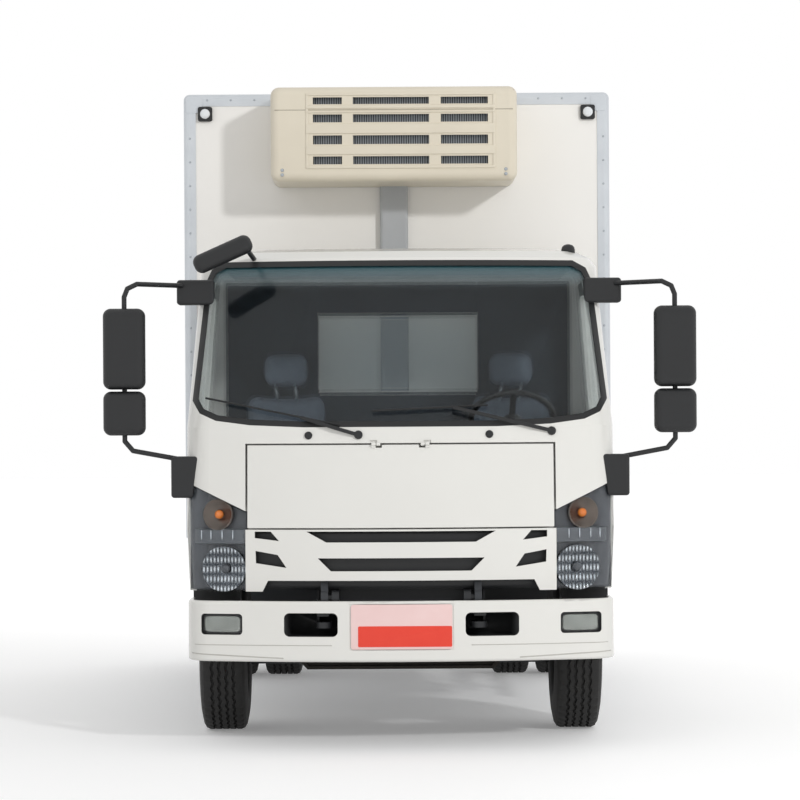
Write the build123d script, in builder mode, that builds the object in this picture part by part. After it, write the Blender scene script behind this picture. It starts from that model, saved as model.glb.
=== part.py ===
"""Light cab-over refrigerated truck with twin rear wheels, tilting cab and an insulated box body.

Millimetres. +Z is up, the truck faces -Y and its left side is +X. The origin is on the ground,
below the middle of the truck's length.
"""

import math
import os

from build123d import *

os.makedirs("parts", exist_ok=True)

# Driving dimensions of the whole vehicle
OVERALL_LENGTH = 5995.0
FRONT_OVERHANG = 1110.0
WHEELBASE = 3360.0
GAP = 6.0  # joint between neighbouring body panels
MOVING_GAP = 8.0  # joint round a door or lid
SEAT = 0.3  # clearance where curved pieces seat on each other
RUNNING = 0.08  # radial clearance of a pin in its bore

FRONT = -OVERALL_LENGTH / 2
REAR = OVERALL_LENGTH / 2
FRONT_AXLE_Y = FRONT + FRONT_OVERHANG
REAR_AXLE_Y = FRONT_AXLE_Y + WHEELBASE

# Wheels and axles
TYRE_DIAMETER = 850.0
TYRE_WIDTH = 238.0
BEAD_RADIUS = 203.0
RIM_WALL = 9.0
FLANGE_HEIGHT = 16.0
RIM_HALF_WIDTH = 92.0
FRONT_TRACK = 1765.0
REAR_TRACK = 1650.0
TWIN_SPACING = 272.0
AXLE_Z = TYRE_DIAMETER / 2
STUD_COUNT = 6
HUB_RADIUS = 70.0
DRUM_RADIUS = 158.0
HAND_HOLE_RADIUS = 26.0
HAND_HOLE_CIRCLE = 300.0

# Steering
KINGPIN_X = 745.0
KINGPIN_RADIUS = 18.0
SPINDLE_RADIUS = 26.0
STEERING_ARM = 180.0  # kingpin to tie rod, straight back
TIE_ROD_RADIUS = 16.0
TIE_ROD_DROP = 95.0  # below the wheel centre

# Ladder frame
FRAME_WIDTH = 800.0
RAIL_HEIGHT = 200.0
RAIL_FLANGE = 65.0
RAIL_PLATE = 8.0
FRAME_TOP = 780.0
FRAME_START = 170.0  # behind the front of the truck
FRAME_END = 90.0  # ahead of the rear of the truck
CROSSMEMBER_THICKNESS = 60.0
CROSSMEMBER_DEPTH = 140.0
# Places of the crossmembers, behind the front of the truck
CROSSMEMBER_STATIONS = (230.0, 1880.0, 2650.0, 3700.0, 4980.0, 5840.0)

# Insulated box
BOX_WIDTH = 2250.0
BOX_TOP = 3285.0
BOX_START = 1790.0  # behind the front of the truck
HARDWARE_REACH = 45.0  # lock bars and hinges behind the rear doors
SILL_HEIGHT = 100.0
SILL_WIDTH = 80.0
BEAM_HEIGHT = 60.0
FLOOR_THICKNESS = 100.0
WALL = 80.0
EDGE_RAIL = 65.0
EDGE_RADIUS = 32.0
PORTAL_WIDTH = 75.0
PORTAL_DEPTH = 110.0
DOOR_THICKNESS = 80.0
HINGE_OUT = 26.0  # rear hinge pin beside the box
HINGE_BACK = 27.0  # rear hinge pin behind the doors
HINGE_PIN_RADIUS = 10.0
LOCK_BAR_RADIUS = 15.0

BOX_FRONT_Y = FRONT + BOX_START
BOX_REAR_Y = REAR - HARDWARE_REACH
FLOOR_Z = FRAME_TOP + SILL_HEIGHT + BEAM_HEIGHT
HALF_BOX = BOX_WIDTH / 2

# Cab
CAB_REAR = 1690.0  # back of the cab, behind the front of the truck
CAB_WALL = 45.0
CAB_BOTTOM = 748.0
CAB_FLOOR_TOP = 970.0
CAB_FLOOR_PLATE = 40.0
TUNNEL_HALF = 385.0
TUNNEL_TOP = 1205.0
LID_BOTTOM = 1051.0
LID_TOP = 1444.0
LID_HALF = 731.0
FIREWALL_INSET = 58.0
FIREWALL_PLATE = 22.0
ROOF_JOINT = 2338.0
ARCH_RADIUS = 480.0
TILT_BACK = 90.0  # tilt pivot behind the front of the truck
TILT_Z = 715.0
TILT_PIN_RADIUS = 20.0

# Cab plan sections: height, nose behind the front, half width, front radius, corner radius, back inset
CAB_SECTIONS = (
    (748.0, 62.0, 1018.0, 3200.0, 150.0, 0.0),
    (1051.0, 52.0, 1030.0, 3200.0, 155.0, 0.0),
    (1529.0, 112.0, 1030.0, 3100.0, 160.0, 0.0),
    (2310.0, 430.0, 972.0, 3000.0, 155.0, 0.0),
    (2352.0, 462.0, 945.0, 3000.0, 160.0, 14.0),
    (2386.0, 530.0, 885.0, 3000.0, 165.0, 60.0),
    (2405.0, 660.0, 750.0, 3000.0, 170.0, 160.0),
)

# Bumper
BUMPER_WIDTH = 2044.0
BUMPER_TOP = 706.0
BUMPER_BOTTOM = 418.0
BUMPER_WALL = 24.0
BUMPER_WRAP = 420.0  # length of its side wings
BUMPER_RADIUS = 3300.0
BUMPER_CORNER = 150.0


# Name and X sign of each side of the truck
SIDES = (("left", 1), ("right", -1))


# Shared helpers
def front_plane(depth):
    """Upright plane facing forwards, its place given behind the front of the truck."""
    return Plane.XZ.offset(-(FRONT + depth))


def side_plane(x):
    """Upright plane facing the truck's left, with Y to the right and Z up."""
    return Plane.YZ.offset(x)


def slab(x, y, z, mode=Mode.ADD):
    """Block between the two values of each pair, in the part that is being built."""
    with Locations(((x[0] + x[1]) / 2, (y[0] + y[1]) / 2, (z[0] + z[1]) / 2)):
        Box(x[1] - x[0], y[1] - y[0], z[1] - z[0], mode=mode)


def rod(start, end, radius, mode=Mode.ADD):
    """Round bar from one point to the other, in the part that is being built."""
    line = Vector(*end) - Vector(*start)
    with Locations(Plane(origin=start, z_dir=line)):
        Cylinder(radius, line.length, align=(Align.CENTER, Align.CENTER, Align.MIN), mode=mode)


def save(piece, name):
    """Labels a finished piece and writes its file."""
    piece.part.label = name
    export_step(piece.part, f"parts/{name}.step")


def plan_outline(nose, half, radius, corner, back):
    """Plan of a cab or bumper: bowed front, round front corners, straight sides and a flat back."""
    bow_y = FRONT + nose + radius
    corner_x = half - corner
    corner_y = bow_y - math.sqrt((radius - corner) ** 2 - corner_x**2)
    angle = math.atan2(corner_x, bow_y - corner_y)
    meet = (radius * math.sin(angle), bow_y - radius * math.cos(angle))
    middle = (math.pi / 2 + angle) / 2
    knee = (corner_x + corner * math.sin(middle), corner_y - corner * math.cos(middle))
    with BuildLine() as plan:
        ThreePointArc((-meet[0], meet[1]), (0, FRONT + nose), meet)
        ThreePointArc(meet, knee, (half, corner_y))
        Polyline((half, corner_y), (half, FRONT + back), (-half, FRONT + back), (-half, corner_y))
        ThreePointArc((-half, corner_y), (-knee[0], knee[1]), (-meet[0], meet[1]))
    make_face(plan.edges())


def wheel_plane(x, y):
    """Half section of a wheel: along the axle to the right, outwards from the axle upwards."""
    return Plane(origin=(x, y, AXLE_Z), x_dir=(1, 0, 0), z_dir=(0, -1, 0))


def axle_line(x, y):
    """Axis of a wheel."""
    return Axis((x, y, AXLE_Z), (1, 0, 0))


def band(along, radius):
    """Rectangle in a wheel's half section, between two places on the axle and two radii."""
    with Locations(((along[0] + along[1]) / 2, (radius[0] + radius[1]) / 2)):
        Rectangle(abs(along[1] - along[0]), radius[1] - radius[0])


# Tyres. Half section: share of the height from bead to tread, share of the half width
TYRE_SECTION = (
    (0.09, 0.70),
    (0.20, 0.91),
    (0.44, 1.0),
    (0.66, 0.98),
    (0.89, 0.89),
    (0.97, 0.80),
    (1.0, 0.66),
)
TYRE_FOOT = RIM_HALF_WIDTH - RIM_WALL - SEAT


def tyre(x, y):
    """Tyre as a ring round the rim, centred on the wheel, in the part that is being built."""
    foot_radius = BEAD_RADIUS + SEAT
    height = TYRE_DIAMETER / 2 - foot_radius
    half = [(TYRE_FOOT, foot_radius)]
    half += [(w * TYRE_WIDTH / 2, foot_radius + h * height) for h, w in TYRE_SECTION]
    half[1] = (TYRE_FOOT, half[1][1])
    with BuildSketch(wheel_plane(x, y)) as section:
        with BuildLine():
            Polyline(*half, *[(-w, r) for w, r in reversed(half)], close=True)
        make_face()
    revolve(section.sketch, axis=axle_line(x, y))


def barrel(centre):
    """Rim barrel with its two flanges, in a wheel's half section."""
    edge = RIM_HALF_WIDTH
    band((centre - edge, centre + edge), (BEAD_RADIUS - RIM_WALL, BEAD_RADIUS))
    for end in (-1, 1):
        flange = sorted((centre + end * edge, centre + end * (edge - RIM_WALL)))
        band(flange, (BEAD_RADIUS - RIM_WALL, BEAD_RADIUS + FLANGE_HEIGHT))


def hand_holes(x, y, reach):
    """Round holes through a wheel disc."""
    with BuildSketch(Plane(origin=(x, y, AXLE_Z), x_dir=(0, 1, 0), z_dir=(1, 0, 0))) as holes:
        with PolarLocations(HAND_HOLE_CIRCLE / 2, STUD_COUNT):
            Circle(HAND_HOLE_RADIUS)
    extrude(holes.sketch, amount=reach, mode=Mode.SUBTRACT)


# Front wheels: disc near the outer edge, hub and brake drum in one piece with the rim
DISC_PLATE = 12.0
FRONT_DISC = 66.0  # outer side of the wheel's middle
FRONT_DISC_RIM = 38.0
DISC_KNEE = 142.0  # radius where the disc turns into its cone
HUB_INNER = -20.0
HUB_OUTER = 108.0
DRUM_INNER = -78.0
DRUM_WEB = 10.0
FRONT_WHEEL_X = FRONT_TRACK / 2
SPINDLE_BORE = SPINDLE_RADIUS + RUNNING
SPINDLE_END = 85.0

for side, sign in SIDES:
    wheel_x = sign * FRONT_WHEEL_X
    with BuildPart() as front_tyre:
        tyre(wheel_x, FRONT_AXLE_Y)
    save(front_tyre, f"tyre_front_{side}")

    with BuildPart() as front_rim:
        with BuildSketch(wheel_plane(wheel_x, FRONT_AXLE_Y)):
            barrel(0)
            inside = BEAD_RADIUS - RIM_WALL
            disc = (
                (FRONT_DISC_RIM, inside),
                (FRONT_DISC, DISC_KNEE),
                (FRONT_DISC, SPINDLE_BORE),
                (FRONT_DISC + DISC_PLATE, SPINDLE_BORE),
                (FRONT_DISC + DISC_PLATE, DISC_KNEE),
                (FRONT_DISC_RIM + DISC_PLATE, inside),
            )
            with BuildLine():
                Polyline(*[(sign * x, r) for x, r in disc], close=True)
            make_face()
            band((sign * HUB_INNER, sign * HUB_OUTER), (SPINDLE_BORE, HUB_RADIUS))
            band((sign * (HUB_OUTER - DISC_PLATE), sign * HUB_OUTER), (0, HUB_RADIUS))
            drum = (sign * DRUM_INNER, sign * (DRUM_WEB + DISC_PLATE))
            band(drum, (DRUM_RADIUS - DISC_PLATE, DRUM_RADIUS))
            band((sign * DRUM_WEB, sign * (DRUM_WEB + DISC_PLATE)), (SPINDLE_BORE, DRUM_RADIUS))
        revolve(axis=axle_line(wheel_x, FRONT_AXLE_Y))
        hand_holes(wheel_x + sign * (DRUM_WEB + DISC_PLATE), FRONT_AXLE_Y, sign * RIM_HALF_WIDTH)
    save(front_rim, f"rim_front_{side}")

# Rear twin wheels: two discs bolted back to back on one hub with its brake drum
REAR_WHEEL_X = REAR_TRACK / 2
TWIN_PLATE = 13.0  # half thickness of the two discs
TWIN_DISC_RIM = 62.0
REAR_HUB_INNER = -150.0
REAR_HUB_OUTER = 125.0
REAR_DRUM_INNER = -215.0
REAR_DRUM_WEB = -62.0
AXLE_TUBE_RADIUS = 45.0
AXLE_TUBE_END = 60.0
TUBE_BORE = AXLE_TUBE_RADIUS + RUNNING

for side, sign in SIDES:
    twin_x = sign * REAR_WHEEL_X
    with BuildPart() as rear_tyres:
        for offset_x in (-TWIN_SPACING / 2, TWIN_SPACING / 2):
            tyre(twin_x + offset_x, REAR_AXLE_Y)
    save(rear_tyres, f"tyres_rear_{side}")

    with BuildPart() as rear_rims:
        with BuildSketch(wheel_plane(twin_x, REAR_AXLE_Y)):
            inside = BEAD_RADIUS - RIM_WALL
            for end in (-1, 1):
                barrel(end * TWIN_SPACING / 2)
                cone = (
                    (0, DISC_KNEE - DISC_PLATE),
                    (TWIN_PLATE, DISC_KNEE - DISC_PLATE),
                    (TWIN_DISC_RIM + DISC_PLATE, inside),
                    (TWIN_DISC_RIM, inside),
                    (0, DISC_KNEE),
                )
                with BuildLine():
                    Polyline(*[(end * x, r) for x, r in cone], close=True)
                make_face()
            band((-TWIN_PLATE, TWIN_PLATE), (TUBE_BORE, DISC_KNEE - DISC_PLATE / 2))
            band((sign * REAR_HUB_INNER, sign * REAR_HUB_OUTER), (TUBE_BORE, HUB_RADIUS))
            band((sign * (REAR_HUB_OUTER - DISC_PLATE), sign * REAR_HUB_OUTER), (0, HUB_RADIUS))
            drum = (sign * REAR_DRUM_INNER, sign * (REAR_DRUM_WEB + DISC_PLATE))
            band(drum, (DRUM_RADIUS - DISC_PLATE, DRUM_RADIUS))
            band((sign * REAR_DRUM_WEB, sign * (REAR_DRUM_WEB + DISC_PLATE)), (TUBE_BORE, DRUM_RADIUS))
        revolve(axis=axle_line(twin_x, REAR_AXLE_Y))
        hand_holes(twin_x + sign * (REAR_DRUM_WEB + DISC_PLATE), REAR_AXLE_Y, sign * TWIN_SPACING / 2)
    save(rear_rims, f"rims_rear_{side}")

# Steering knuckles: forked ears round the kingpin, stub axle and arm to the tie rod
EAR_RADIUS = 42.0
EAR_OUTER = 75.0  # above and below the wheel centre
EAR_INNER = 35.0
WEB_IN = 40.0
WEB_OUT = 58.0
ARM_THICKNESS = 24.0
ARM_END_RADIUS = 20.0
PIN_RADIUS = 10.0
TIE_EYE_HEIGHT = 32.0
TIE_PIN_Y = FRONT_AXLE_Y + STEERING_ARM
TIE_ROD_Z = AXLE_Z - TIE_ROD_DROP

for side, sign in SIDES:
    pin_x = sign * KINGPIN_X
    with BuildPart() as knuckle:
        for end in (-1, 1):
            ear = sorted((AXLE_Z + end * EAR_INNER, AXLE_Z + end * EAR_OUTER))
            rod((pin_x, FRONT_AXLE_Y, ear[0]), (pin_x, FRONT_AXLE_Y, ear[1]), EAR_RADIUS)
            web = sorted((pin_x, pin_x + sign * WEB_OUT))
            slab(web, (FRONT_AXLE_Y - EAR_RADIUS, FRONT_AXLE_Y + EAR_RADIUS), ear)
        upright = sorted((pin_x + sign * WEB_IN, pin_x + sign * WEB_OUT))
        ears = (AXLE_Z - EAR_OUTER, AXLE_Z + EAR_OUTER)
        slab(upright, (FRONT_AXLE_Y - EAR_RADIUS, FRONT_AXLE_Y + EAR_RADIUS), ears)
        spindle_end = sign * (FRONT_WHEEL_X + SPINDLE_END)
        rod((upright[0], FRONT_AXLE_Y, AXLE_Z), (spindle_end, FRONT_AXLE_Y, AXLE_Z), SPINDLE_RADIUS)
        with BuildSketch(Plane.XY.offset(AXLE_Z - EAR_OUTER)):
            with Locations((pin_x, FRONT_AXLE_Y)):
                Circle(EAR_RADIUS)
            with Locations((pin_x, TIE_PIN_Y)):
                Circle(ARM_END_RADIUS)
            make_hull()
        extrude(amount=ARM_THICKNESS)
        pin_low = TIE_ROD_Z - TIE_EYE_HEIGHT / 2
        rod((pin_x, TIE_PIN_Y, pin_low), (pin_x, TIE_PIN_Y, AXLE_Z - EAR_OUTER), PIN_RADIUS)
        bore = KINGPIN_RADIUS + RUNNING
        rod((pin_x, FRONT_AXLE_Y, ears[0]), (pin_x, FRONT_AXLE_Y, ears[1]), bore, Mode.SUBTRACT)
    save(knuckle, f"knuckle_{side}")

# Tie rod between the two steering arms
with BuildPart() as tie_rod:
    rod((-KINGPIN_X, TIE_PIN_Y, TIE_ROD_Z), (KINGPIN_X, TIE_PIN_Y, TIE_ROD_Z), TIE_ROD_RADIUS)
    eye = (TIE_ROD_Z - TIE_EYE_HEIGHT / 2, TIE_ROD_Z + TIE_EYE_HEIGHT / 2 - GAP / 2)
    for _, sign in SIDES:
        end_x = sign * KINGPIN_X
        rod((end_x, TIE_PIN_Y, eye[0]), (end_x, TIE_PIN_Y, eye[1]), ARM_END_RADIUS)
    for _, sign in SIDES:
        end_x = sign * KINGPIN_X
        rod((end_x, TIE_PIN_Y, eye[0]), (end_x, TIE_PIN_Y, AXLE_Z), PIN_RADIUS + RUNNING, Mode.SUBTRACT)
save(tie_rod, "tie_rod")

# Front axle: dropped I-section beam with its kingpins
BEAM_HALF_WIDTH = 40.0
BEAM_DROP = 85.0
BEAM_HALF_HEIGHT = 40.0
BEAM_END_HALF = 33.0
BEAM_BEND_OUT = 560.0
BEAM_BEND_IN = 470.0
BEAM_POCKET = 26.0
BEAM_FLANGE = 15.0
SPRING_SEAT_Z = AXLE_Z - BEAM_DROP + BEAM_HALF_HEIGHT


def beam_outline():
    """Front view of the beam, level at its ends and dropped in the middle."""
    upper = (
        (KINGPIN_X, AXLE_Z + BEAM_END_HALF),
        (BEAM_BEND_OUT, AXLE_Z + BEAM_END_HALF),
        (BEAM_BEND_IN, SPRING_SEAT_Z),
    )
    lower = (
        (BEAM_BEND_IN, SPRING_SEAT_Z - 2 * BEAM_HALF_HEIGHT),
        (BEAM_BEND_OUT, AXLE_Z - BEAM_END_HALF),
        (KINGPIN_X, AXLE_Z - BEAM_END_HALF),
    )
    with BuildLine() as outline:
        top = [*upper, *[(-x, z) for x, z in reversed(upper)]]
        Polyline(*top, *[(-x, z) for x, z in lower[::-1]], *lower, close=True)
    make_face(outline.edges())


with BuildPart() as front_axle:
    with BuildSketch(front_plane(FRONT_OVERHANG)):
        beam_outline()
    extrude(amount=BEAM_HALF_WIDTH, both=True)
    for end in (-1, 1):
        with BuildSketch(front_plane(FRONT_OVERHANG + end * BEAM_HALF_WIDTH)):
            beam_outline()
            offset(amount=-BEAM_FLANGE, kind=Kind.INTERSECTION, mode=Mode.REPLACE)
        extrude(amount=end * BEAM_POCKET, mode=Mode.SUBTRACT)
    for _, sign in SIDES:
        pin_x = sign * KINGPIN_X
        boss = (AXLE_Z - BEAM_END_HALF, AXLE_Z + BEAM_END_HALF)
        rod((pin_x, FRONT_AXLE_Y, boss[0]), (pin_x, FRONT_AXLE_Y, boss[1]), EAR_RADIUS - GAP)
        pin = (AXLE_Z - EAR_OUTER, AXLE_Z + EAR_OUTER)
        rod((pin_x, FRONT_AXLE_Y, pin[0]), (pin_x, FRONT_AXLE_Y, pin[1]), KINGPIN_RADIUS)
save(front_axle, "front_axle")

# Rear axle: tubes, banjo housing and differential nose
BANJO_RADIUS = 165.0
BANJO_HALF = 70.0
NOSE_RADIUS = 80.0
NOSE_LENGTH = 210.0
REAR_SPRING_X = 485.0
TUBE_REACH = REAR_WHEEL_X + AXLE_TUBE_END

with BuildPart() as rear_axle:
    rod((-TUBE_REACH, REAR_AXLE_Y, AXLE_Z), (TUBE_REACH, REAR_AXLE_Y, AXLE_Z), AXLE_TUBE_RADIUS)
    with BuildSketch(Plane(origin=(0, REAR_AXLE_Y + BANJO_HALF, AXLE_Z), z_dir=(0, 1, 0))):
        Circle(BANJO_RADIUS)
    extrude(amount=-2 * BANJO_HALF)
    rod((0, REAR_AXLE_Y, AXLE_Z), (0, REAR_AXLE_Y - NOSE_LENGTH, AXLE_Z), NOSE_RADIUS)
    cover = (0, REAR_AXLE_Y + BANJO_HALF + BEAM_FLANGE, AXLE_Z)
    rod((0, REAR_AXLE_Y, AXLE_Z), cover, BANJO_RADIUS - BEAM_HALF_WIDTH)
save(rear_axle, "rear_axle")

# Leaf springs: name, axle place, spring place, half lengths of the leaves, seat height, end height
LEAF = 14.0
LEAF_HALF_WIDTH = 35.0
FRONT_SPRING_X = FRAME_WIDTH / 2 - LEAF_HALF_WIDTH
RAIL_BOTTOM = FRAME_TOP - RAIL_HEIGHT
SPRING_PAD = 12.0
FRONT_LEAVES = (240.0, 420.0, 600.0)
REAR_LEAVES = (180.0, 290.0, 400.0, 520.0, 640.0)
SPRINGS = (
    ("front", FRONT_AXLE_Y, FRONT_SPRING_X, FRONT_LEAVES, SPRING_SEAT_Z, 70.0),
    ("rear", REAR_AXLE_Y, REAR_SPRING_X, REAR_LEAVES, AXLE_Z + AXLE_TUBE_RADIUS, 90.0),
)
with BuildPart() as springs:
    for name, axle_y, spring_x, leaves, seat_z, rise in SPRINGS:
        longest = leaves[-1]
        foot_z = seat_z + SPRING_PAD
        bend = (longest**2 + rise**2) / (2 * rise)
        centre_z = foot_z + bend
        for _, sign in SIDES:
            x = sign * spring_x
            across = (x - LEAF_HALF_WIDTH, x + LEAF_HALF_WIDTH)
            for layer, half in enumerate(leaves):
                outer, inner = bend - layer * LEAF, bend - (layer + 1) * LEAF
                turn = math.asin(half / bend)
                with BuildSketch(side_plane(across[0])):
                    with BuildLine():
                        low = [(r * math.sin(turn), r * math.cos(turn)) for r in (outer, inner)]
                        (a, b), (c, d) = low
                        low = (axle_y, centre_z - outer)
                        ThreePointArc((axle_y - a, centre_z - b), low, (axle_y + a, centre_z - b))
                        Line((axle_y + a, centre_z - b), (axle_y + c, centre_z - d))
                        low = (axle_y, centre_z - inner)
                        ThreePointArc((axle_y + c, centre_z - d), low, (axle_y - c, centre_z - d))
                        Line((axle_y - c, centre_z - d), (axle_y - a, centre_z - b))
                    make_face()
                extrude(amount=2 * LEAF_HALF_WIDTH)
            slab(across, (axle_y - LEAF_HALF_WIDTH, axle_y + LEAF_HALF_WIDTH), (seat_z, foot_z + LEAF))
            end_z = foot_z + rise + len(leaves) * LEAF
            for end in (-1, 1):
                along = sorted((axle_y + end * (longest - 2 * LEAF_HALF_WIDTH), axle_y + end * longest))
                if name == "front":
                    slab(across, along, (foot_z + rise, RAIL_BOTTOM))
                else:
                    hanger = sorted((sign * FRAME_WIDTH / 2, x + sign * LEAF_HALF_WIDTH))
                    slab(hanger, along, (foot_z + rise, end_z + 2 * LEAF))
save(springs, "leaf_springs")

# Ladder frame: two channel rails and crossmembers between their webs
RAIL_START_Y = FRONT + FRAME_START
RAIL_END_Y = REAR - FRAME_END
WEB_INSIDE = FRAME_WIDTH / 2 - RAIL_PLATE
TOW_PLATE = 28.0
TOW_REACH = 77.0
TOW_HALF = 38.0
TOW_Z = 590.0
TOW_HOLE_RADIUS = 19.0

with BuildPart() as frame_rails:
    for _, sign in SIDES:
        outer = sign * FRAME_WIDTH / 2
        flange = sorted((outer, outer - sign * RAIL_FLANGE))
        slab(flange, (RAIL_START_Y, RAIL_END_Y), (RAIL_BOTTOM, FRAME_TOP))
        channel = sorted((outer - sign * RAIL_PLATE, outer - sign * 2 * RAIL_FLANGE))
        hollow = (RAIL_BOTTOM + RAIL_PLATE, FRAME_TOP - RAIL_PLATE)
        slab(channel, (RAIL_START_Y, RAIL_END_Y), hollow, Mode.SUBTRACT)
        eye_x = outer - sign * RAIL_FLANGE / 2
        eye_y = RAIL_START_Y - TOW_REACH
        eye_z = (TOW_Z - TOW_PLATE / 2, TOW_Z + TOW_PLATE / 2)
        slab((eye_x - TOW_HALF, eye_x + TOW_HALF), (eye_y, RAIL_START_Y), eye_z)
        rod((eye_x, eye_y, eye_z[0]), (eye_x, eye_y, eye_z[1]), TOW_HALF)
        rod((eye_x, eye_y, eye_z[0]), (eye_x, eye_y, eye_z[1]), TOW_HOLE_RADIUS, Mode.SUBTRACT)
save(frame_rails, "frame_rails")

CROSSMEMBER_TOP = FRAME_TOP - RAIL_PLATE
TILT_EYE = 38.0
TILT_ARM = (348.0, 382.0)
TILT_CHEEK = (296.0, 330.0)
CAB_REST = 1560.0  # rests below the back of the cab floor
with BuildPart() as crossmembers:
    for station in CROSSMEMBER_STATIONS:
        middle = FRONT + station
        along = (middle - CROSSMEMBER_THICKNESS / 2, middle + CROSSMEMBER_THICKNESS / 2)
        slab((-WEB_INSIDE, WEB_INSIDE), along, (CROSSMEMBER_TOP - CROSSMEMBER_DEPTH, CROSSMEMBER_TOP))
    for _, sign in SIDES:
        cheek = sorted((sign * TILT_CHEEK[0], sign * TILT_CHEEK[1]))
        pin_y = FRONT + TILT_BACK
        slab(cheek, (pin_y, FRONT + CROSSMEMBER_STATIONS[0]), (TILT_Z - TILT_EYE, TILT_Z + TILT_EYE))
        rod((cheek[0], pin_y, TILT_Z), (cheek[1], pin_y, TILT_Z), TILT_EYE)
        rod((sign * TILT_CHEEK[0], pin_y, TILT_Z), (sign * TILT_ARM[1], pin_y, TILT_Z), TILT_PIN_RADIUS)
        rest = sorted((sign * WEB_INSIDE, sign * (FRAME_WIDTH / 2 - RAIL_FLANGE)))
        rest_y = (FRONT + CAB_REST - CROSSMEMBER_THICKNESS, FRONT + CAB_REST + CROSSMEMBER_THICKNESS)
        slab(rest, rest_y, (FRAME_TOP, CAB_FLOOR_TOP - CAB_FLOOR_PLATE - MOVING_GAP))
save(crossmembers, "frame_crossmembers")

# Engine as one block with its sump, and the gearbox behind it
ENGINE_START = 470.0
ENGINE_END = 1250.0
ENGINE_HALF = 290.0
ENGINE_TOP = 1130.0
ENGINE_LOW = 560.0
SUMP_LOW = 470.0
SUMP_HALF = 180.0
SUMP_END = 900.0
GEARBOX_END = 1760.0
GEARBOX_RADIUS = 170.0
SHAFT_Z = 520.0
ENGINE_FOOT = 60.0
with BuildPart() as engine:
    slab((-ENGINE_HALF, ENGINE_HALF), (FRONT + ENGINE_START, FRONT + ENGINE_END), (ENGINE_LOW, ENGINE_TOP))
    fillet(engine.edges().filter_by(Axis.Y), ENGINE_FOOT)
    slab((-SUMP_HALF, SUMP_HALF), (FRONT + ENGINE_START, FRONT + SUMP_END), (SUMP_LOW, ENGINE_LOW))
    gearbox_z = SHAFT_Z + ENGINE_FOOT
    with BuildSketch(front_plane(ENGINE_END)):
        with Locations((0, gearbox_z + ENGINE_FOOT)):
            Circle(GEARBOX_RADIUS + ENGINE_FOOT)
    with BuildSketch(front_plane(GEARBOX_END)):
        with Locations((0, gearbox_z)):
            Circle(GEARBOX_RADIUS - ENGINE_FOOT)
    loft(ruled=True)
    for _, sign in SIDES:
        mount_y = FRONT + ENGINE_START + 2 * ENGINE_FOOT
        arm = sorted((sign * ENGINE_HALF, sign * WEB_INSIDE))
        along = (mount_y - ENGINE_FOOT / 2, mount_y + ENGINE_FOOT / 2)
        slab(arm, along, (CROSSMEMBER_TOP - ENGINE_FOOT, CROSSMEMBER_TOP))
save(engine, "engine_gearbox")

# Propeller shaft from the gearbox to the differential
SHAFT_RADIUS = 38.0
with BuildPart() as shaft:
    start = (0, FRONT + GEARBOX_END, gearbox_z)
    end = (0, REAR_AXLE_Y - NOSE_LENGTH, AXLE_Z)
    rod(start, end, SHAFT_RADIUS)
    for point, way in ((start, 1), (end, -1)):
        flange = (0, point[1] + way * 2 * LEAF, point[2])
        rod(point, flange, SHAFT_RADIUS + LEAF)
    slab((-BANJO_RADIUS, BANJO_RADIUS), (start[1] - NOSE_LENGTH, start[1]), (0, FRAME_TOP), Mode.SUBTRACT)
    slab((-BANJO_RADIUS, BANJO_RADIUS), (end[1], end[1] + NOSE_LENGTH), (0, FRAME_TOP), Mode.SUBTRACT)
save(shaft, "propeller_shaft")

# Fuel tank and battery box: side, across, along, up, edge radius
SIDE_CASES = (
    ("fuel_tank", -1, (440.0, 980.0), (2050.0, 2760.0), (470.0, 770.0), 60.0),
    ("battery_box", 1, (440.0, 860.0), (2050.0, 2560.0), (520.0, 770.0), 20.0),
)
STRAP_HALF = 25.0
STRAP_SPACE = 120.0
for name, sign, across, depths, heights, radius in SIDE_CASES:
    with BuildPart() as case:
        slab(sorted(sign * x for x in across), [FRONT + depth for depth in depths], heights)
        fillet(case.edges().filter_by(Axis.Y), radius)
        for depth in (depths[0] + STRAP_SPACE, depths[1] - STRAP_SPACE):
            reach = sorted((sign * FRAME_WIDTH / 2, sign * (across[0] + radius)))
            along = (FRONT + depth - STRAP_HALF, FRONT + depth + STRAP_HALF)
            slab(reach, along, (RAIL_BOTTOM + STRAP_HALF, FRAME_TOP - 2 * STRAP_HALF))
    save(case, name)

# Exhaust silencer with its tail pipe, hung on the left rail
SILENCER_X = 580.0
SILENCER_Z = 580.0
SILENCER_RADIUS = 115.0
TAIL_RADIUS = 28.0
SILENCER_START = 2760.0
SILENCER_LENGTH = 600.0
TAIL_LENGTH = 400.0
with BuildPart() as silencer:
    ends = (FRONT + SILENCER_START, FRONT + SILENCER_START + SILENCER_LENGTH)
    rod((SILENCER_X, ends[0], SILENCER_Z), (SILENCER_X, ends[1], SILENCER_Z), SILENCER_RADIUS)
    rod((SILENCER_X, ends[1], SILENCER_Z), (SILENCER_X, ends[1] + TAIL_LENGTH, SILENCER_Z), TAIL_RADIUS)
    for strap_y in (ends[0] + STRAP_SPACE, ends[1] - STRAP_SPACE):
        along = (strap_y - STRAP_HALF, strap_y + STRAP_HALF)
        slab((FRAME_WIDTH / 2, SILENCER_X), along, (RAIL_BOTTOM + STRAP_HALF, RAIL_BOTTOM + 3 * STRAP_HALF))
save(silencer, "exhaust_silencer")

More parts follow.
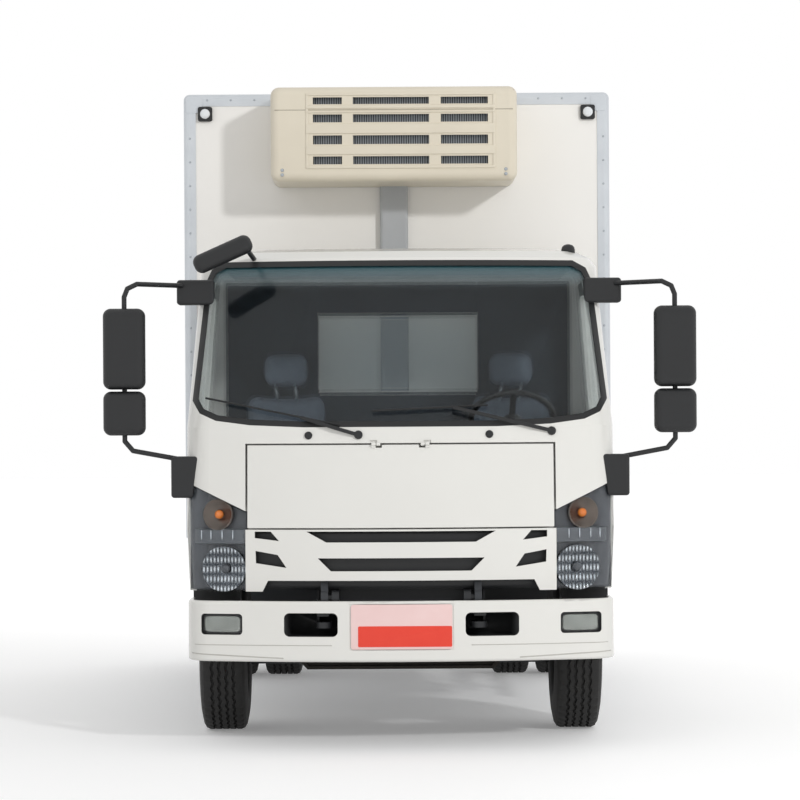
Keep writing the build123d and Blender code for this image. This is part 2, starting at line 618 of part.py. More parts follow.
# Box body: subframe, floor, edge rails, panels and rear portal
BODY_END_Y = BOX_REAR_Y - PORTAL_DEPTH
INSIDE_HALF = HALF_BOX - WALL
PANEL_STEP = 4.0  # panels lie this far inside the edge rails
BEAM_SPACING = 520.0
BEAMS_AHEAD = int((REAR_AXLE_Y - BOX_FRONT_Y - SILL_WIDTH) // BEAM_SPACING)
BEAMS_BEHIND = int((RAIL_END_Y - REAR_AXLE_Y - BEAM_HEIGHT / 2) // BEAM_SPACING)
RAIL_TOP_Z = BOX_TOP - EDGE_RAIL
RAIL_LOW_Z = FLOOR_Z + EDGE_RAIL
PANEL_HALF = HALF_BOX - EDGE_RAIL
INSIDE_FRONT_Y = BOX_FRONT_Y + WALL

with BuildPart() as subframe:
    for _, sign in SIDES:
        sill = sorted((sign * FRAME_WIDTH / 2, sign * (FRAME_WIDTH / 2 - SILL_WIDTH)))
        slab(sill, (BOX_FRONT_Y + SILL_WIDTH, RAIL_END_Y), (FRAME_TOP, FRAME_TOP + SILL_HEIGHT))
    for row in range(-BEAMS_AHEAD, BEAMS_BEHIND + 1):
        beam_y = REAR_AXLE_Y + row * BEAM_SPACING
        beam = (beam_y - BEAM_HEIGHT / 2, beam_y + BEAM_HEIGHT / 2)
        slab((-PANEL_HALF, PANEL_HALF), beam, (FLOOR_Z - BEAM_HEIGHT, FLOOR_Z))
save(subframe, "box_subframe")

with BuildPart() as box_floor:
    slab((-INSIDE_HALF, INSIDE_HALF), (INSIDE_FRONT_Y, BODY_END_Y), (FLOOR_Z, FLOOR_Z + FLOOR_THICKNESS))
save(box_floor, "box_floor")

with BuildPart() as edge_rails:
    slab((-HALF_BOX, HALF_BOX), (BOX_FRONT_Y, BODY_END_Y), (FLOOR_Z, BOX_TOP))
    top_edges = edge_rails.faces().sort_by(Axis.Z)[-1].edges()
    front_edges = edge_rails.faces().sort_by(Axis.Y)[0].edges().filter_by(Axis.Z)
    rear_edge = edge_rails.faces().sort_by(Axis.Y)[-1].edges().sort_by(Axis.Z)[-1]
    corners = [edge for edge in (*top_edges, *front_edges) if edge.center() != rear_edge.center()]
    fillet(corners, EDGE_RADIUS)
    slab((-INSIDE_HALF, INSIDE_HALF), (INSIDE_FRONT_Y, BODY_END_Y), (FLOOR_Z, BOX_TOP), Mode.SUBTRACT)
    slab((-HALF_BOX, HALF_BOX), (INSIDE_FRONT_Y, BODY_END_Y), (RAIL_LOW_Z, RAIL_TOP_Z), Mode.SUBTRACT)
    slab((-PANEL_HALF, PANEL_HALF), (BOX_FRONT_Y, INSIDE_FRONT_Y), (RAIL_LOW_Z, RAIL_TOP_Z), Mode.SUBTRACT)
save(edge_rails, "box_edge_rails")

with BuildPart() as front_wall:
    slab((-PANEL_HALF, PANEL_HALF), (BOX_FRONT_Y + PANEL_STEP, INSIDE_FRONT_Y), (RAIL_LOW_Z, RAIL_TOP_Z))
save(front_wall, "box_front_wall")

with BuildPart() as side_walls:
    for _, sign in SIDES:
        across = sorted((sign * INSIDE_HALF, sign * (HALF_BOX - PANEL_STEP)))
        slab(across, (INSIDE_FRONT_Y, BODY_END_Y), (RAIL_LOW_Z, RAIL_TOP_Z))
save(side_walls, "box_side_walls")

with BuildPart() as box_roof:
    slab((-INSIDE_HALF, INSIDE_HALF), (INSIDE_FRONT_Y, BODY_END_Y), (BOX_TOP - WALL, BOX_TOP - PANEL_STEP))
save(box_roof, "box_roof")

# Rear doors on outside hinges, each with two lock bars
PORTAL_HALF = HALF_BOX - PORTAL_WIDTH
PORTAL_LOW = FLOOR_Z + FLOOR_THICKNESS
PORTAL_HIGH = BOX_TOP - PORTAL_WIDTH
HINGE_X = HALF_BOX + HINGE_OUT
HINGE_Y = BOX_REAR_Y + HINGE_BACK
HINGE_HEIGHTS = (1250.0, 1830.0, 2410.0, 2990.0)
STRAP_HALF_HEIGHT = 25.0
LUG_HEIGHT = 24.0
LUG_RADIUS = 16.0
LUG_LENGTH = 60.0
HINGE_EYE = 18.0
STRAP_INNER_X = 850.0
STRAP_OUT = 20.0
DOOR_MIDDLE = 7.0
LOCK_BARS = (330.0, 760.0)
LOCK_BRACKETS = (1150.0, 2120.0, 3090.0)
LOCK_BRACKET_HALF = 32.0

with BuildPart() as portal:
    slab((-HALF_BOX, HALF_BOX), (BODY_END_Y, BOX_REAR_Y), (FLOOR_Z, BOX_TOP))
    slab((-PORTAL_HALF, PORTAL_HALF), (BODY_END_Y, BOX_REAR_Y), (PORTAL_LOW, PORTAL_HIGH), Mode.SUBTRACT)
    for _, sign in SIDES:
        lug_x = sorted((sign * HALF_BOX, sign * HINGE_X))
        for height in HINGE_HEIGHTS:
            for end in (-1, 1):
                near = height + end * (STRAP_HALF_HEIGHT + GAP)
                lug_z = sorted((near, near + end * LUG_HEIGHT))
                slab(lug_x, (BOX_REAR_Y - LUG_LENGTH, HINGE_Y), lug_z)
                rod((sign * HINGE_X, HINGE_Y, lug_z[0]), (sign * HINGE_X, HINGE_Y, lug_z[1]), LUG_RADIUS)
            pin = [(sign * HINGE_X, HINGE_Y, height + end * (STRAP_HALF_HEIGHT + GAP)) for end in (-1, 1)]
            rod(*pin, HINGE_PIN_RADIUS)
save(portal, "box_rear_portal")

for side, sign in SIDES:
    with BuildPart() as rear_door:
        leaf = sorted((sign * DOOR_MIDDLE, sign * (PORTAL_HALF - MOVING_GAP)))
        heights = (PORTAL_LOW + MOVING_GAP, PORTAL_HIGH - MOVING_GAP)
        slab(leaf, (BOX_REAR_Y - DOOR_THICKNESS, BOX_REAR_Y), heights)
        for height in HINGE_HEIGHTS:
            strap_z = (height - STRAP_HALF_HEIGHT, height + STRAP_HALF_HEIGHT)
            pad = sorted((sign * STRAP_INNER_X, sign * (PORTAL_HALF - MOVING_GAP)))
            slab(pad, (BOX_REAR_Y, BOX_REAR_Y + MOVING_GAP), strap_z)
            strap = sorted((sign * STRAP_INNER_X, sign * HINGE_X))
            slab(strap, (BOX_REAR_Y + MOVING_GAP, BOX_REAR_Y + STRAP_OUT), strap_z)
            eye = [(sign * HINGE_X, HINGE_Y, z) for z in strap_z]
            rod(*eye, HINGE_EYE)
            rod(*eye, HINGE_PIN_RADIUS + RUNNING, Mode.SUBTRACT)
        for bar_x in LOCK_BARS:
            bar_y = BOX_REAR_Y + HARDWARE_REACH - LOCK_BAR_RADIUS - PANEL_STEP
            ends = (PORTAL_LOW + STRAP_OUT, PORTAL_HIGH - STRAP_OUT)
            rod((sign * bar_x, bar_y, ends[0]), (sign * bar_x, bar_y, ends[1]), LOCK_BAR_RADIUS)
            for height in LOCK_BRACKETS:
                bracket_x = (sign * bar_x - LOCK_BRACKET_HALF, sign * bar_x + LOCK_BRACKET_HALF)
                bracket_z = (height - LOCK_BRACKET_HALF, height + LOCK_BRACKET_HALF)
                slab(bracket_x, (BOX_REAR_Y, BOX_REAR_Y + HARDWARE_REACH), bracket_z)
    save(rear_door, f"rear_door_{side}")

# Refrigeration unit on the box front: slotted housing, condenser coil and line cover
UNIT_X = -16.0
UNIT_HALF = 635.0
UNIT_LOW = 2788.0
UNIT_TOP = 3276.0
UNIT_DEPTH = 450.0
UNIT_WALL = 18.0
UNIT_RADIUS = 45.0
UNIT_FRONT_Y = BOX_FRONT_Y - UNIT_DEPTH
SLOT_COLUMNS = ((-432.0, -283.0), (-226.0, 165.0), (226.0, 468.0))
SLOT_ROWS = ((3184.0, 3220.0), (3091.0, 3132.0), (2978.0, 3024.0), (2875.0, 2916.0))
COIL_SETBACK = 70.0
COIL_DEPTH = 60.0
COVER_HALF = 74.0
COVER_DEPTH = 50.0
COVER_LOW = 1100.0
UNIT_INSIDE = (UNIT_X - UNIT_HALF + UNIT_WALL, UNIT_X + UNIT_HALF - UNIT_WALL)
UNIT_INSIDE_Z = (UNIT_LOW + UNIT_WALL, UNIT_TOP - UNIT_WALL)

with BuildPart() as unit:
    slab((UNIT_X - UNIT_HALF, UNIT_X + UNIT_HALF), (UNIT_FRONT_Y, BOX_FRONT_Y), (UNIT_LOW, UNIT_TOP))
    unit_front = unit.faces().sort_by(Axis.Y)[0]
    fillet([*unit_front.edges(), *unit.edges().filter_by(Axis.Y)], UNIT_RADIUS)
    slab(UNIT_INSIDE, (UNIT_FRONT_Y + UNIT_WALL, BOX_FRONT_Y), UNIT_INSIDE_Z, Mode.SUBTRACT)
    for column in SLOT_COLUMNS:
        for row in SLOT_ROWS:
            slab(column, (UNIT_FRONT_Y, UNIT_FRONT_Y + 2 * UNIT_WALL), row, Mode.SUBTRACT)
save(unit, "fridge_housing")

with BuildPart() as coil:
    coil_y = UNIT_FRONT_Y + COIL_SETBACK
    slab(UNIT_INSIDE, (coil_y, coil_y + COIL_DEPTH), UNIT_INSIDE_Z)
save(coil, "fridge_condenser")

with BuildPart() as line_cover:
    cover_y = (BOX_FRONT_Y - COVER_DEPTH, BOX_FRONT_Y + PANEL_STEP)
    slab((UNIT_X - COVER_HALF, UNIT_X + COVER_HALF), cover_y, (COVER_LOW, UNIT_LOW))
    fillet(line_cover.faces().sort_by(Axis.Y)[0].edges().filter_by(Axis.Z), STRAP_OUT)
save(line_cover, "fridge_line_cover")

# Side guards: two rails and posts below the box beams
GUARD_OUT = 1085.0
GUARD_PLATE = 25.0
GUARD_AFTER_BOX = 140.0  # behind the front of the box
GUARD_TO_AXLE = 570.0  # ahead of the rear axle
GUARD_RAILS = ((440.0, 500.0), (640.0, 700.0))
GUARD_POST_ROWS = (-4, -2)
POST_HALF = 30.0
with BuildPart() as guards:
    for _, sign in SIDES:
        plate = sorted((sign * GUARD_OUT, sign * (GUARD_OUT - GUARD_PLATE)))
        for rail in GUARD_RAILS:
            slab(plate, (BOX_FRONT_Y + GUARD_AFTER_BOX, REAR_AXLE_Y - GUARD_TO_AXLE), rail)
        post = sorted((sign * (GUARD_OUT - GUARD_PLATE), sign * (GUARD_OUT - 2 * GUARD_PLATE)))
        for row in GUARD_POST_ROWS:
            post_y = REAR_AXLE_Y + row * BEAM_SPACING
            slab(post, (post_y - POST_HALF, post_y + POST_HALF), (GUARD_RAILS[0][0], FLOOR_Z - BEAM_HEIGHT))
save(guards, "side_guards")

# Rear mudguards: part of a ring over each twin wheel, held by the beam above the axle
MUDGUARD_INNER = 445.0
MUDGUARD_OUTER = 451.0
MUDGUARD_X = (560.0, 1090.0)
MUDGUARD_CUT = 150.0  # lower edge above the wheel centre
with BuildPart() as mudguards:
    for _, sign in SIDES:
        across = sorted((sign * MUDGUARD_X[0], sign * MUDGUARD_X[1]))
        ends = [(x, REAR_AXLE_Y, AXLE_Z) for x in across]
        rod(*ends, MUDGUARD_OUTER)
        pad = (REAR_AXLE_Y - BEAM_HEIGHT / 2, REAR_AXLE_Y + BEAM_HEIGHT / 2)
        beam_end = sorted((sign * (MUDGUARD_X[0] + POST_HALF), sign * (PANEL_HALF - POST_HALF)))
        slab(beam_end, pad, (AXLE_Z, FLOOR_Z - BEAM_HEIGHT))
        rod(*ends, MUDGUARD_INNER, Mode.SUBTRACT)
        below = (AXLE_Z - MUDGUARD_OUTER, AXLE_Z + MUDGUARD_CUT)
        slab(across, (REAR_AXLE_Y - MUDGUARD_OUTER, REAR_AXLE_Y + MUDGUARD_OUTER), below, Mode.SUBTRACT)
save(mudguards, "rear_mudguards")

# Rear underrun bar with the lamps on it
BAR_HALF = 1050.0
BAR_Z = (470.0, 570.0)
BAR_Y = (REAR - 130.0, REAR - 70.0)
LAMP_X = (660.0, 1000.0)
LAMP_HEIGHT = 105.0
with BuildPart() as rear_bar:
    slab((-BAR_HALF, BAR_HALF), BAR_Y, BAR_Z)
    for _, sign in SIDES:
        hanger = sorted((sign * FRAME_WIDTH / 2, sign * (FRAME_WIDTH / 2 - RAIL_FLANGE)))
        slab(hanger, (BAR_Y[0] - LUG_LENGTH, RAIL_END_Y), (BAR_Z[0], RAIL_BOTTOM))
save(rear_bar, "rear_underrun_bar")

with BuildPart() as rear_lamps:
    for _, sign in SIDES:
        slab(sorted(sign * x for x in LAMP_X), BAR_Y, (BAR_Z[1], BAR_Z[1] + LAMP_HEIGHT))
    fillet(rear_lamps.faces().filter_by(Axis.Y).sort_by(Axis.Y)[-2:].edges(), MOVING_GAP)
save(rear_lamps, "rear_lamps")

# Front bumper: thin shell with tow openings, fog lamp pockets and brackets to the rails
TOW_OPENING_X = (302.0, 557.0)
TOW_OPENING_Z = (538.0, 650.0)
FOG_X = (756.0, 954.0)
FOG_Z = (545.0, 645.0)
FOG_DEPTH = 60.0
BUMPER_BRACKET_X = (345.0, 400.0)
BUMPER_BRACKET_Z = (634.0, 668.0)
BUMPER_HALF = BUMPER_WIDTH / 2
BUMPER_EDGE = 14.0
PLATE_HALF = 247.0
PLATE_Z = (474.0, 694.0)
PLATE_POCKET = 12.0


def bumper_block(inset, back):
    """Bumper plan drawn in by the inset and raised to the bumper's height."""
    with BuildSketch(Plane.XY.offset(BUMPER_BOTTOM)) as plan:
        plan_outline(inset, BUMPER_HALF - inset, BUMPER_RADIUS - inset, BUMPER_CORNER - inset, back)
    return extrude(plan.sketch, amount=BUMPER_TOP - BUMPER_BOTTOM, mode=Mode.PRIVATE)


with BuildPart() as bumper:
    add(bumper_block(0, BUMPER_WRAP))
    level = [*bumper.edges().group_by(Axis.Z)[0], *bumper.edges().group_by(Axis.Z)[-1]]
    fillet([edge for edge in level if edge.center().Y < FRONT + BUMPER_WRAP - BUMPER_EDGE], BUMPER_EDGE)
    add(bumper_block(BUMPER_WALL, BUMPER_WRAP + BUMPER_WALL), mode=Mode.SUBTRACT)
    slab((-PLATE_HALF, PLATE_HALF), (FRONT, FRONT + PLATE_POCKET), PLATE_Z, Mode.SUBTRACT)
    for _, sign in SIDES:
        for opening_x, opening_z in ((TOW_OPENING_X, TOW_OPENING_Z), (FOG_X, FOG_Z)):
            across = sorted(sign * x for x in opening_x)
            slab(across, (FRONT, FRONT + BUMPER_WRAP - BUMPER_CORNER), opening_z, Mode.SUBTRACT)
        bracket = sorted(sign * x for x in BUMPER_BRACKET_X)
        slab(bracket, (FRONT + 2 * BUMPER_WALL, RAIL_START_Y), BUMPER_BRACKET_Z)
save(bumper, "front_bumper")

# Fog lamps in the bumper and marker lamps on the box
MARKER_X = 1010.0
MARKER_HALF = 38.0
MARKER_Z = 3178.0
MARKER_OUT = 34.0
with BuildPart() as clear_lamps:
    add(bumper_block(MOVING_GAP, BUMPER_WRAP))
    add(bumper_block(MOVING_GAP + FOG_DEPTH, BUMPER_WRAP + FOG_DEPTH), mode=Mode.SUBTRACT)
    with BuildPart(mode=Mode.INTERSECT):
        for _, sign in SIDES:
            slab(sorted(sign * x for x in FOG_X), (FRONT, FRONT + BUMPER_WRAP - BUMPER_CORNER), FOG_Z)
    for _, sign in SIDES:
        across = (sign * MARKER_X - MARKER_HALF, sign * MARKER_X + MARKER_HALF)
        marker_y = (BOX_FRONT_Y - MARKER_OUT, BOX_FRONT_Y + PANEL_STEP)
        slab(across, marker_y, (MARKER_Z - MARKER_HALF, MARKER_Z + MARKER_HALF))
save(clear_lamps, "clear_lamps")

# Cab body and the panels cut from it
WAIST = CAB_SECTIONS[2][0]
ROOF_TOP = CAB_SECTIONS[-1][0]
ROOF_SHARE = 0.65  # roof thickness as a share of the wall thickness
PANEL_SKIN = 28.0
LENS = 8.0
LAMP_BACK = 56.0
FLOOR_INSET = FIREWALL_INSET + FIREWALL_PLATE
GLASS_OUT = 12.0
GLASS_IN = 18.0
SEAL_IN = 30.0
SEAL_WIDTH = 28.0
DOOR_FRONT = 395.0
DOOR_REAR = 1420.0
DOOR_LOW = 815.0
DOOR_HIGH = 2262.0
DOOR_GAP = 10.0
DOOR_ARC = ARCH_RADIUS + 20.0
SCREEN = (
    (460.0, WAIST),
    (720.0, 1540.0),
    (885.0, 1562.0),
    (965.0, 1598.0),
    (1003.0, 1660.0),
    (943.0, 2245.0),
    (916.0, 2302.0),
    (850.0, ROOF_JOINT),
)
SCREEN_LIMIT = ((0.0, WAIST), (375.0, WAIST), (640.0, ROOF_JOINT), (0.0, ROOF_JOINT))
DOOR_WINDOW = ((520.0, 1575.0), (737.0, 2185.0), (1350.0, 2185.0), (1350.0, 1575.0))
LAMP_INNER = LID_HALF + DOOR_GAP
LAMP_FACE = ((LAMP_INNER, CAB_BOTTOM), (LAMP_INNER, 1131.0), (1100.0, 1304.0), (1100.0, CAB_BOTTOM))
LAMP_SPAN = 300.0
LAMP_BOWLS = ((867.0, 862.0, 92.0), (862.0, 1085.0, 66.0))
BOWL_IN = 44.0
GRILLE_HIGH = LID_BOTTOM - MOVING_GAP
GRILLE_FACE = ((LAMP_INNER, GRILLE_HIGH), (LAMP_INNER, CAB_BOTTOM), (660.0, CAB_BOTTOM), (634.0, 800.0))
GRILLE_SLOTS = (((450.0, 1034.0), (355.0, 982.0)), ((396.0, 907.0), (334.0, 845.0)))
GRILLE_SIDE_SLOTS = (
    ((620.0, 1034.0), (696.0, 1034.0), (696.0, 1003.0), (580.0, 989.0)),
    ((587.0, 923.0), (693.0, 942.0), (691.0, 883.0), (545.0, 861.0)),
)
DOOR_PIN = (1018.0, 435.0)  # hinge line of the doors: across, behind the front
DOOR_HINGES = (1000.0, 1400.0)
DOOR_EYE = 14.0
DOOR_EYE_HALF = 30.0
DOOR_PIN_RADIUS = 8.0
DOOR_PLATE = 12.0
DOOR_POCKET = (62.0, 470.0)  # half height, back end
LID_PIN = (96.0, 1448.0)  # hinge line of the lid: behind the front, up
LID_PIN_RADIUS = 4.0
LID_EYE = 9.0
LID_EYES = (96.0, 114.0, 120.0, 138.0)  # fixed eye, then the lid's eye, on each side
BACK_WINDOW_HALF = 409.0
BACK_WINDOW_Z = (1710.0, 2098.0)
CAB_FLOOR_LOW = CAB_FLOOR_TOP - CAB_FLOOR_PLATE
CAB_BACK_Y = FRONT + CAB_REAR
CAB_INSIDE_Y = CAB_BACK_Y - CAB_WALL
FULL_X = (-HALF_BOX, HALF_BOX)


def cab_block(inset):
    """Cab body drawn in by the inset on all sides, its roof lowered with it."""
    with BuildPart() as block:
        for height, nose, half, radius, corner, back in CAB_SECTIONS:
            drop = ROOF_SHARE * inset * max(0, (height - WAIST) / (ROOF_TOP - WAIST))
            with BuildSketch(Plane.XY.offset(height - drop)):
                depth = CAB_REAR - back - inset
                plan_outline(nose + inset, half - inset, radius - inset, corner - inset, depth)
        loft(ruled=True)
    return block.part


SKIN_INSETS = (0, LENS, GLASS_OUT, GLASS_IN, PANEL_SKIN, SEAL_IN)
INSETS = (*SKIN_INSETS, BOWL_IN, CAB_WALL, LAMP_BACK, FIREWALL_INSET, FLOOR_INSET)
BLOCKS = {inset: cab_block(inset) for inset in INSETS}


def skin(outer, inner):
    """Part of the cab body between two insets."""
    with BuildPart() as layer:
        add(BLOCKS[outer])
        add(BLOCKS[inner], mode=Mode.SUBTRACT)
    return layer.part


def mirrored(points):
    """Closed outline from its left half, given from one end to the other."""
    return [*points, *[(-x, z) for x, z in reversed(points)]]


def front_prism(points, shrink=0):
    """Outline in the front view, drawn in by the shrink and run back through the front of the cab."""
    with BuildSketch(front_plane(0)) as face:
        with BuildLine():
            Polyline(*points, close=True)
        make_face()
        if shrink:
            offset(amount=-shrink, kind=Kind.INTERSECTION, mode=Mode.REPLACE)
    return extrude(face.sketch, amount=-CAB_REAR / 2, mode=Mode.PRIVATE)


def side_prism(points, shrink=0):
    """Outline in the side view, as depths and heights, run across the whole cab."""
    with BuildSketch(Plane.YZ) as face:
        with BuildLine():
            Polyline(*[(FRONT + depth, z) for depth, z in points], close=True)
        make_face()
        if shrink:
            offset(amount=-shrink, kind=Kind.INTERSECTION, mode=Mode.REPLACE)
    return extrude(face.sketch, amount=HALF_BOX, both=True, mode=Mode.PRIVATE)


def screen_prism(shrink):
    """Windscreen opening, drawn in by the shrink and ended ahead of the door pillars."""
    with BuildPart() as opening:
        add(front_prism(mirrored(SCREEN), shrink))
        add(side_prism(SCREEN_LIMIT), mode=Mode.INTERSECT)
    return opening.part


def door_prism(shrink):
    """Side view of a door opening, with the wheel arch cut from its lower edge."""
    front = ((DOOR_FRONT, DOOR_LOW), (DOOR_FRONT, WAIST), (690.0, DOOR_HIGH))
    with BuildPart() as opening:
        add(side_prism((*front, (DOOR_REAR, DOOR_HIGH), (DOOR_REAR, DOOR_LOW)), shrink))
        ends = [(x, FRONT_AXLE_Y, AXLE_Z) for x in FULL_X]
        rod(*ends, DOOR_ARC + shrink, Mode.SUBTRACT)
    return opening.part


with BuildPart() as cab_roof:
    add(skin(0, CAB_WALL))
    slab(FULL_X, (FRONT, CAB_BACK_Y), (ROOF_JOINT, ROOF_TOP), Mode.INTERSECT)
save(cab_roof, "cab_roof")

with BuildPart() as back_wall:
    add(skin(0, CAB_WALL))
    slab(FULL_X, (CAB_INSIDE_Y, CAB_BACK_Y), (CAB_FLOOR_LOW, ROOF_JOINT), Mode.INTERSECT)
    pane = (-BACK_WINDOW_HALF, BACK_WINDOW_HALF)
    slab(pane, (CAB_INSIDE_Y, CAB_BACK_Y), BACK_WINDOW_Z, Mode.SUBTRACT)
save(back_wall, "cab_back_wall")

with BuildPart() as cab_sides:
    add(skin(0, CAB_WALL))
    slab(FULL_X, (FRONT, CAB_INSIDE_Y), (CAB_BOTTOM, ROOF_JOINT), Mode.INTERSECT)
    add(screen_prism(0), mode=Mode.SUBTRACT)
    slab(FULL_X, (FRONT, FRONT + DOOR_FRONT), (CAB_BOTTOM, WAIST), Mode.SUBTRACT)
    add(door_prism(0), mode=Mode.SUBTRACT)
    rod((FULL_X[0], FRONT_AXLE_Y, AXLE_Z), (FULL_X[1], FRONT_AXLE_Y, AXLE_Z), ARCH_RADIUS, Mode.SUBTRACT)
save(cab_sides, "cab_sides")

for side, sign in SIDES:
    half_space = sorted((0, sign * HALF_BOX))
    with BuildPart() as door:
        add(skin(0, CAB_WALL))
        add(door_prism(DOOR_GAP), mode=Mode.INTERSECT)
        slab(half_space, (FRONT, CAB_BACK_Y), (CAB_BOTTOM, ROOF_TOP), Mode.INTERSECT)
        add(side_prism(DOOR_WINDOW), mode=Mode.SUBTRACT)
        for height in DOOR_HINGES:
            pocket_y = (FRONT + DOOR_FRONT, FRONT + DOOR_POCKET[1])
            pocket_z = (height - DOOR_POCKET[0], height + DOOR_POCKET[0])
            slab(half_space, pocket_y, pocket_z, Mode.SUBTRACT)
            eye_z = (height - DOOR_EYE_HALF, height + DOOR_EYE_HALF)
            web_x = sorted((sign * DOOR_PIN[0], sign * (DOOR_PIN[0] - DOOR_EYE)))
            slab(web_x, (FRONT + DOOR_PIN[1], FRONT + DOOR_POCKET[1] + DOOR_GAP), eye_z)
            eye = [(sign * DOOR_PIN[0], FRONT + DOOR_PIN[1], z) for z in eye_z]
            rod(*eye, DOOR_EYE)
            rod(*eye, DOOR_PIN_RADIUS + RUNNING, Mode.SUBTRACT)
    save(door, f"cab_door_{side}")

    with BuildPart() as door_glass:
        add(skin(GLASS_OUT, GLASS_IN))
        add(side_prism(DOOR_WINDOW), mode=Mode.INTERSECT)
        slab(half_space, (FRONT, CAB_BACK_Y), (CAB_BOTTOM, ROOF_TOP), Mode.INTERSECT)
    save(door_glass, f"cab_door_glass_{side}")

with BuildPart() as seal:
    add(skin(0, SEAL_IN))
    add(screen_prism(0), mode=Mode.INTERSECT)
    add(screen_prism(SEAL_WIDTH), mode=Mode.SUBTRACT)
save(seal, "windscreen_seal")

with BuildPart() as windscreen:
    add(skin(GLASS_OUT, GLASS_IN))
    add(screen_prism(SEAL_WIDTH), mode=Mode.INTERSECT)
    slab(pane, (CAB_BACK_Y - GLASS_IN, CAB_BACK_Y - GLASS_OUT), BACK_WINDOW_Z)
save(windscreen, "cab_glass")

lamp_prism = [front_prism([(sign * x, z) for x, z in LAMP_FACE]) for _, sign in SIDES]
LAMP_Y = (FRONT, FRONT + LAMP_SPAN)

with BuildPart() as front_panel:
    add(skin(0, PANEL_SKIN))
    slab(FULL_X, (FRONT, FRONT + DOOR_FRONT), (CAB_BOTTOM, WAIST), Mode.INTERSECT)
    lid_x = (-LID_HALF - DOOR_GAP, LID_HALF + DOOR_GAP)
    slab(lid_x, (FRONT, FRONT + DOOR_FRONT), (CAB_BOTTOM, LID_TOP + MOVING_GAP), Mode.SUBTRACT)
    with BuildPart(mode=Mode.SUBTRACT):
        add(lamp_prism)
        slab(FULL_X, LAMP_Y, (CAB_BOTTOM, WAIST), Mode.INTERSECT)
    with BuildPart():
        add(skin(FIREWALL_INSET, FLOOR_INSET))
        slab(FULL_X, (FRONT, FRONT + DOOR_FRONT - 2 * DOOR_GAP), (CAB_FLOOR_LOW, WAIST), Mode.INTERSECT)
    with BuildPart():
        add(skin(0, FLOOR_INSET))
        slab(lid_x, (FRONT, FRONT + DOOR_FRONT), (LID_TOP + MOVING_GAP, WAIST), Mode.INTERSECT)
    for _, sign in SIDES:
        for height in DOOR_HINGES:
            for end in (-1, 1):
                near = height + end * (DOOR_EYE_HALF + GAP)
                plate_z = sorted((near, near + end * DOOR_PLATE))
                plate_x = sorted((sign * (DOOR_PIN[0] - DOOR_PLATE), sign * (DOOR_PIN[0] + MOVING_GAP)))
                slab(plate_x, (FRONT + DOOR_FRONT - DOOR_PLATE, FRONT + DOOR_PIN[1]), plate_z)
                turn = [(sign * DOOR_PIN[0], FRONT + DOOR_PIN[1], z) for z in plate_z]
                rod(*turn, DOOR_PLATE)
            reach = DOOR_EYE_HALF + GAP
            pin = [(sign * DOOR_PIN[0], FRONT + DOOR_PIN[1], height + end * reach) for end in (-1, 1)]
            rod(*pin, DOOR_PIN_RADIUS)
        notch = sorted((sign * (LID_EYES[2] - MOVING_GAP), sign * (LID_EYES[3] + MOVING_GAP)))
        notch_y = (FRONT, FRONT + LID_PIN[0] + 2 * LID_EYE)
        slab(notch, notch_y, (LID_PIN[1], LID_PIN[1] + 2 * LID_EYE), Mode.SUBTRACT)
        lid_line = [(sign * x, FRONT + LID_PIN[0], LID_PIN[1]) for x in LID_EYES]
        rod(*lid_line[:2], LID_EYE)
        rod(lid_line[0], lid_line[3], LID_PIN_RADIUS)
        shelf = sorted((sign * LID_EYES[0], sign * LID_EYES[1]))
        pin_y = FRONT + LID_PIN[0]
        slab(shelf, (pin_y, pin_y + PANEL_SKIN), (LID_PIN[1], LID_PIN[1] + LID_EYE))
save(front_panel, "cab_front_panel")

with BuildPart() as lid:
    add(skin(0, PANEL_SKIN))
    slab((-LID_HALF, LID_HALF), (FRONT, FRONT + DOOR_FRONT), (LID_BOTTOM, LID_TOP), Mode.INTERSECT)
    for _, sign in SIDES:
        notch = sorted((sign * (LID_EYES[0] - MOVING_GAP), sign * (LID_EYES[1] + GAP / 2)))
        notch_y = (FRONT, FRONT + LID_PIN[0] + 2 * PANEL_SKIN)
        slab(notch, notch_y, (LID_PIN[1] - 2 * LID_EYE, LID_PIN[1]), Mode.SUBTRACT)
        lid_line = [(sign * x, FRONT + LID_PIN[0], LID_PIN[1]) for x in LID_EYES]
        rod(*lid_line[2:], LID_EYE)
        tab = sorted((sign * LID_EYES[2], sign * LID_EYES[3]))
        pin_y = FRONT + LID_PIN[0]
        slab(tab, (pin_y, pin_y + LID_EYE), (LID_PIN[1] - 2 * LID_EYE, LID_PIN[1]))
        rod(*lid_line[2:], LID_PIN_RADIUS + RUNNING, Mode.SUBTRACT)
save(lid, "front_lid")

with BuildPart() as grille:
    add(skin(0, PANEL_SKIN))
    add(front_prism(mirrored(GRILLE_FACE)), mode=Mode.INTERSECT)
    for slot in GRILLE_SLOTS:
        add(front_prism(mirrored(slot)), mode=Mode.SUBTRACT)
    for slot in GRILLE_SIDE_SLOTS:
        for _, sign in SIDES:
            add(front_prism([(sign * x, z) for x, z in slot]), mode=Mode.SUBTRACT)
save(grille, "grille")

for name, outer, inner in (("headlamp_lenses", 0, LENS), ("headlamp_housings", LENS, LAMP_BACK)):
    with BuildPart() as lamps:
        add(skin(outer, inner))
        with BuildPart(mode=Mode.INTERSECT):
            add(lamp_prism)
            slab(FULL_X, LAMP_Y, (CAB_BOTTOM, WAIST), Mode.INTERSECT)
        if outer == LENS:
            with BuildPart(mode=Mode.SUBTRACT):
                for _, sign in SIDES:
                    for bowl_x, bowl_z, bowl_radius in LAMP_BOWLS:
                        centre = (sign * bowl_x, FRONT, bowl_z)
                        rod(centre, (sign * bowl_x, FRONT + LAMP_SPAN, bowl_z), bowl_radius)
                add(skin(LENS, BOWL_IN), mode=Mode.INTERSECT)
    save(lamps, name)

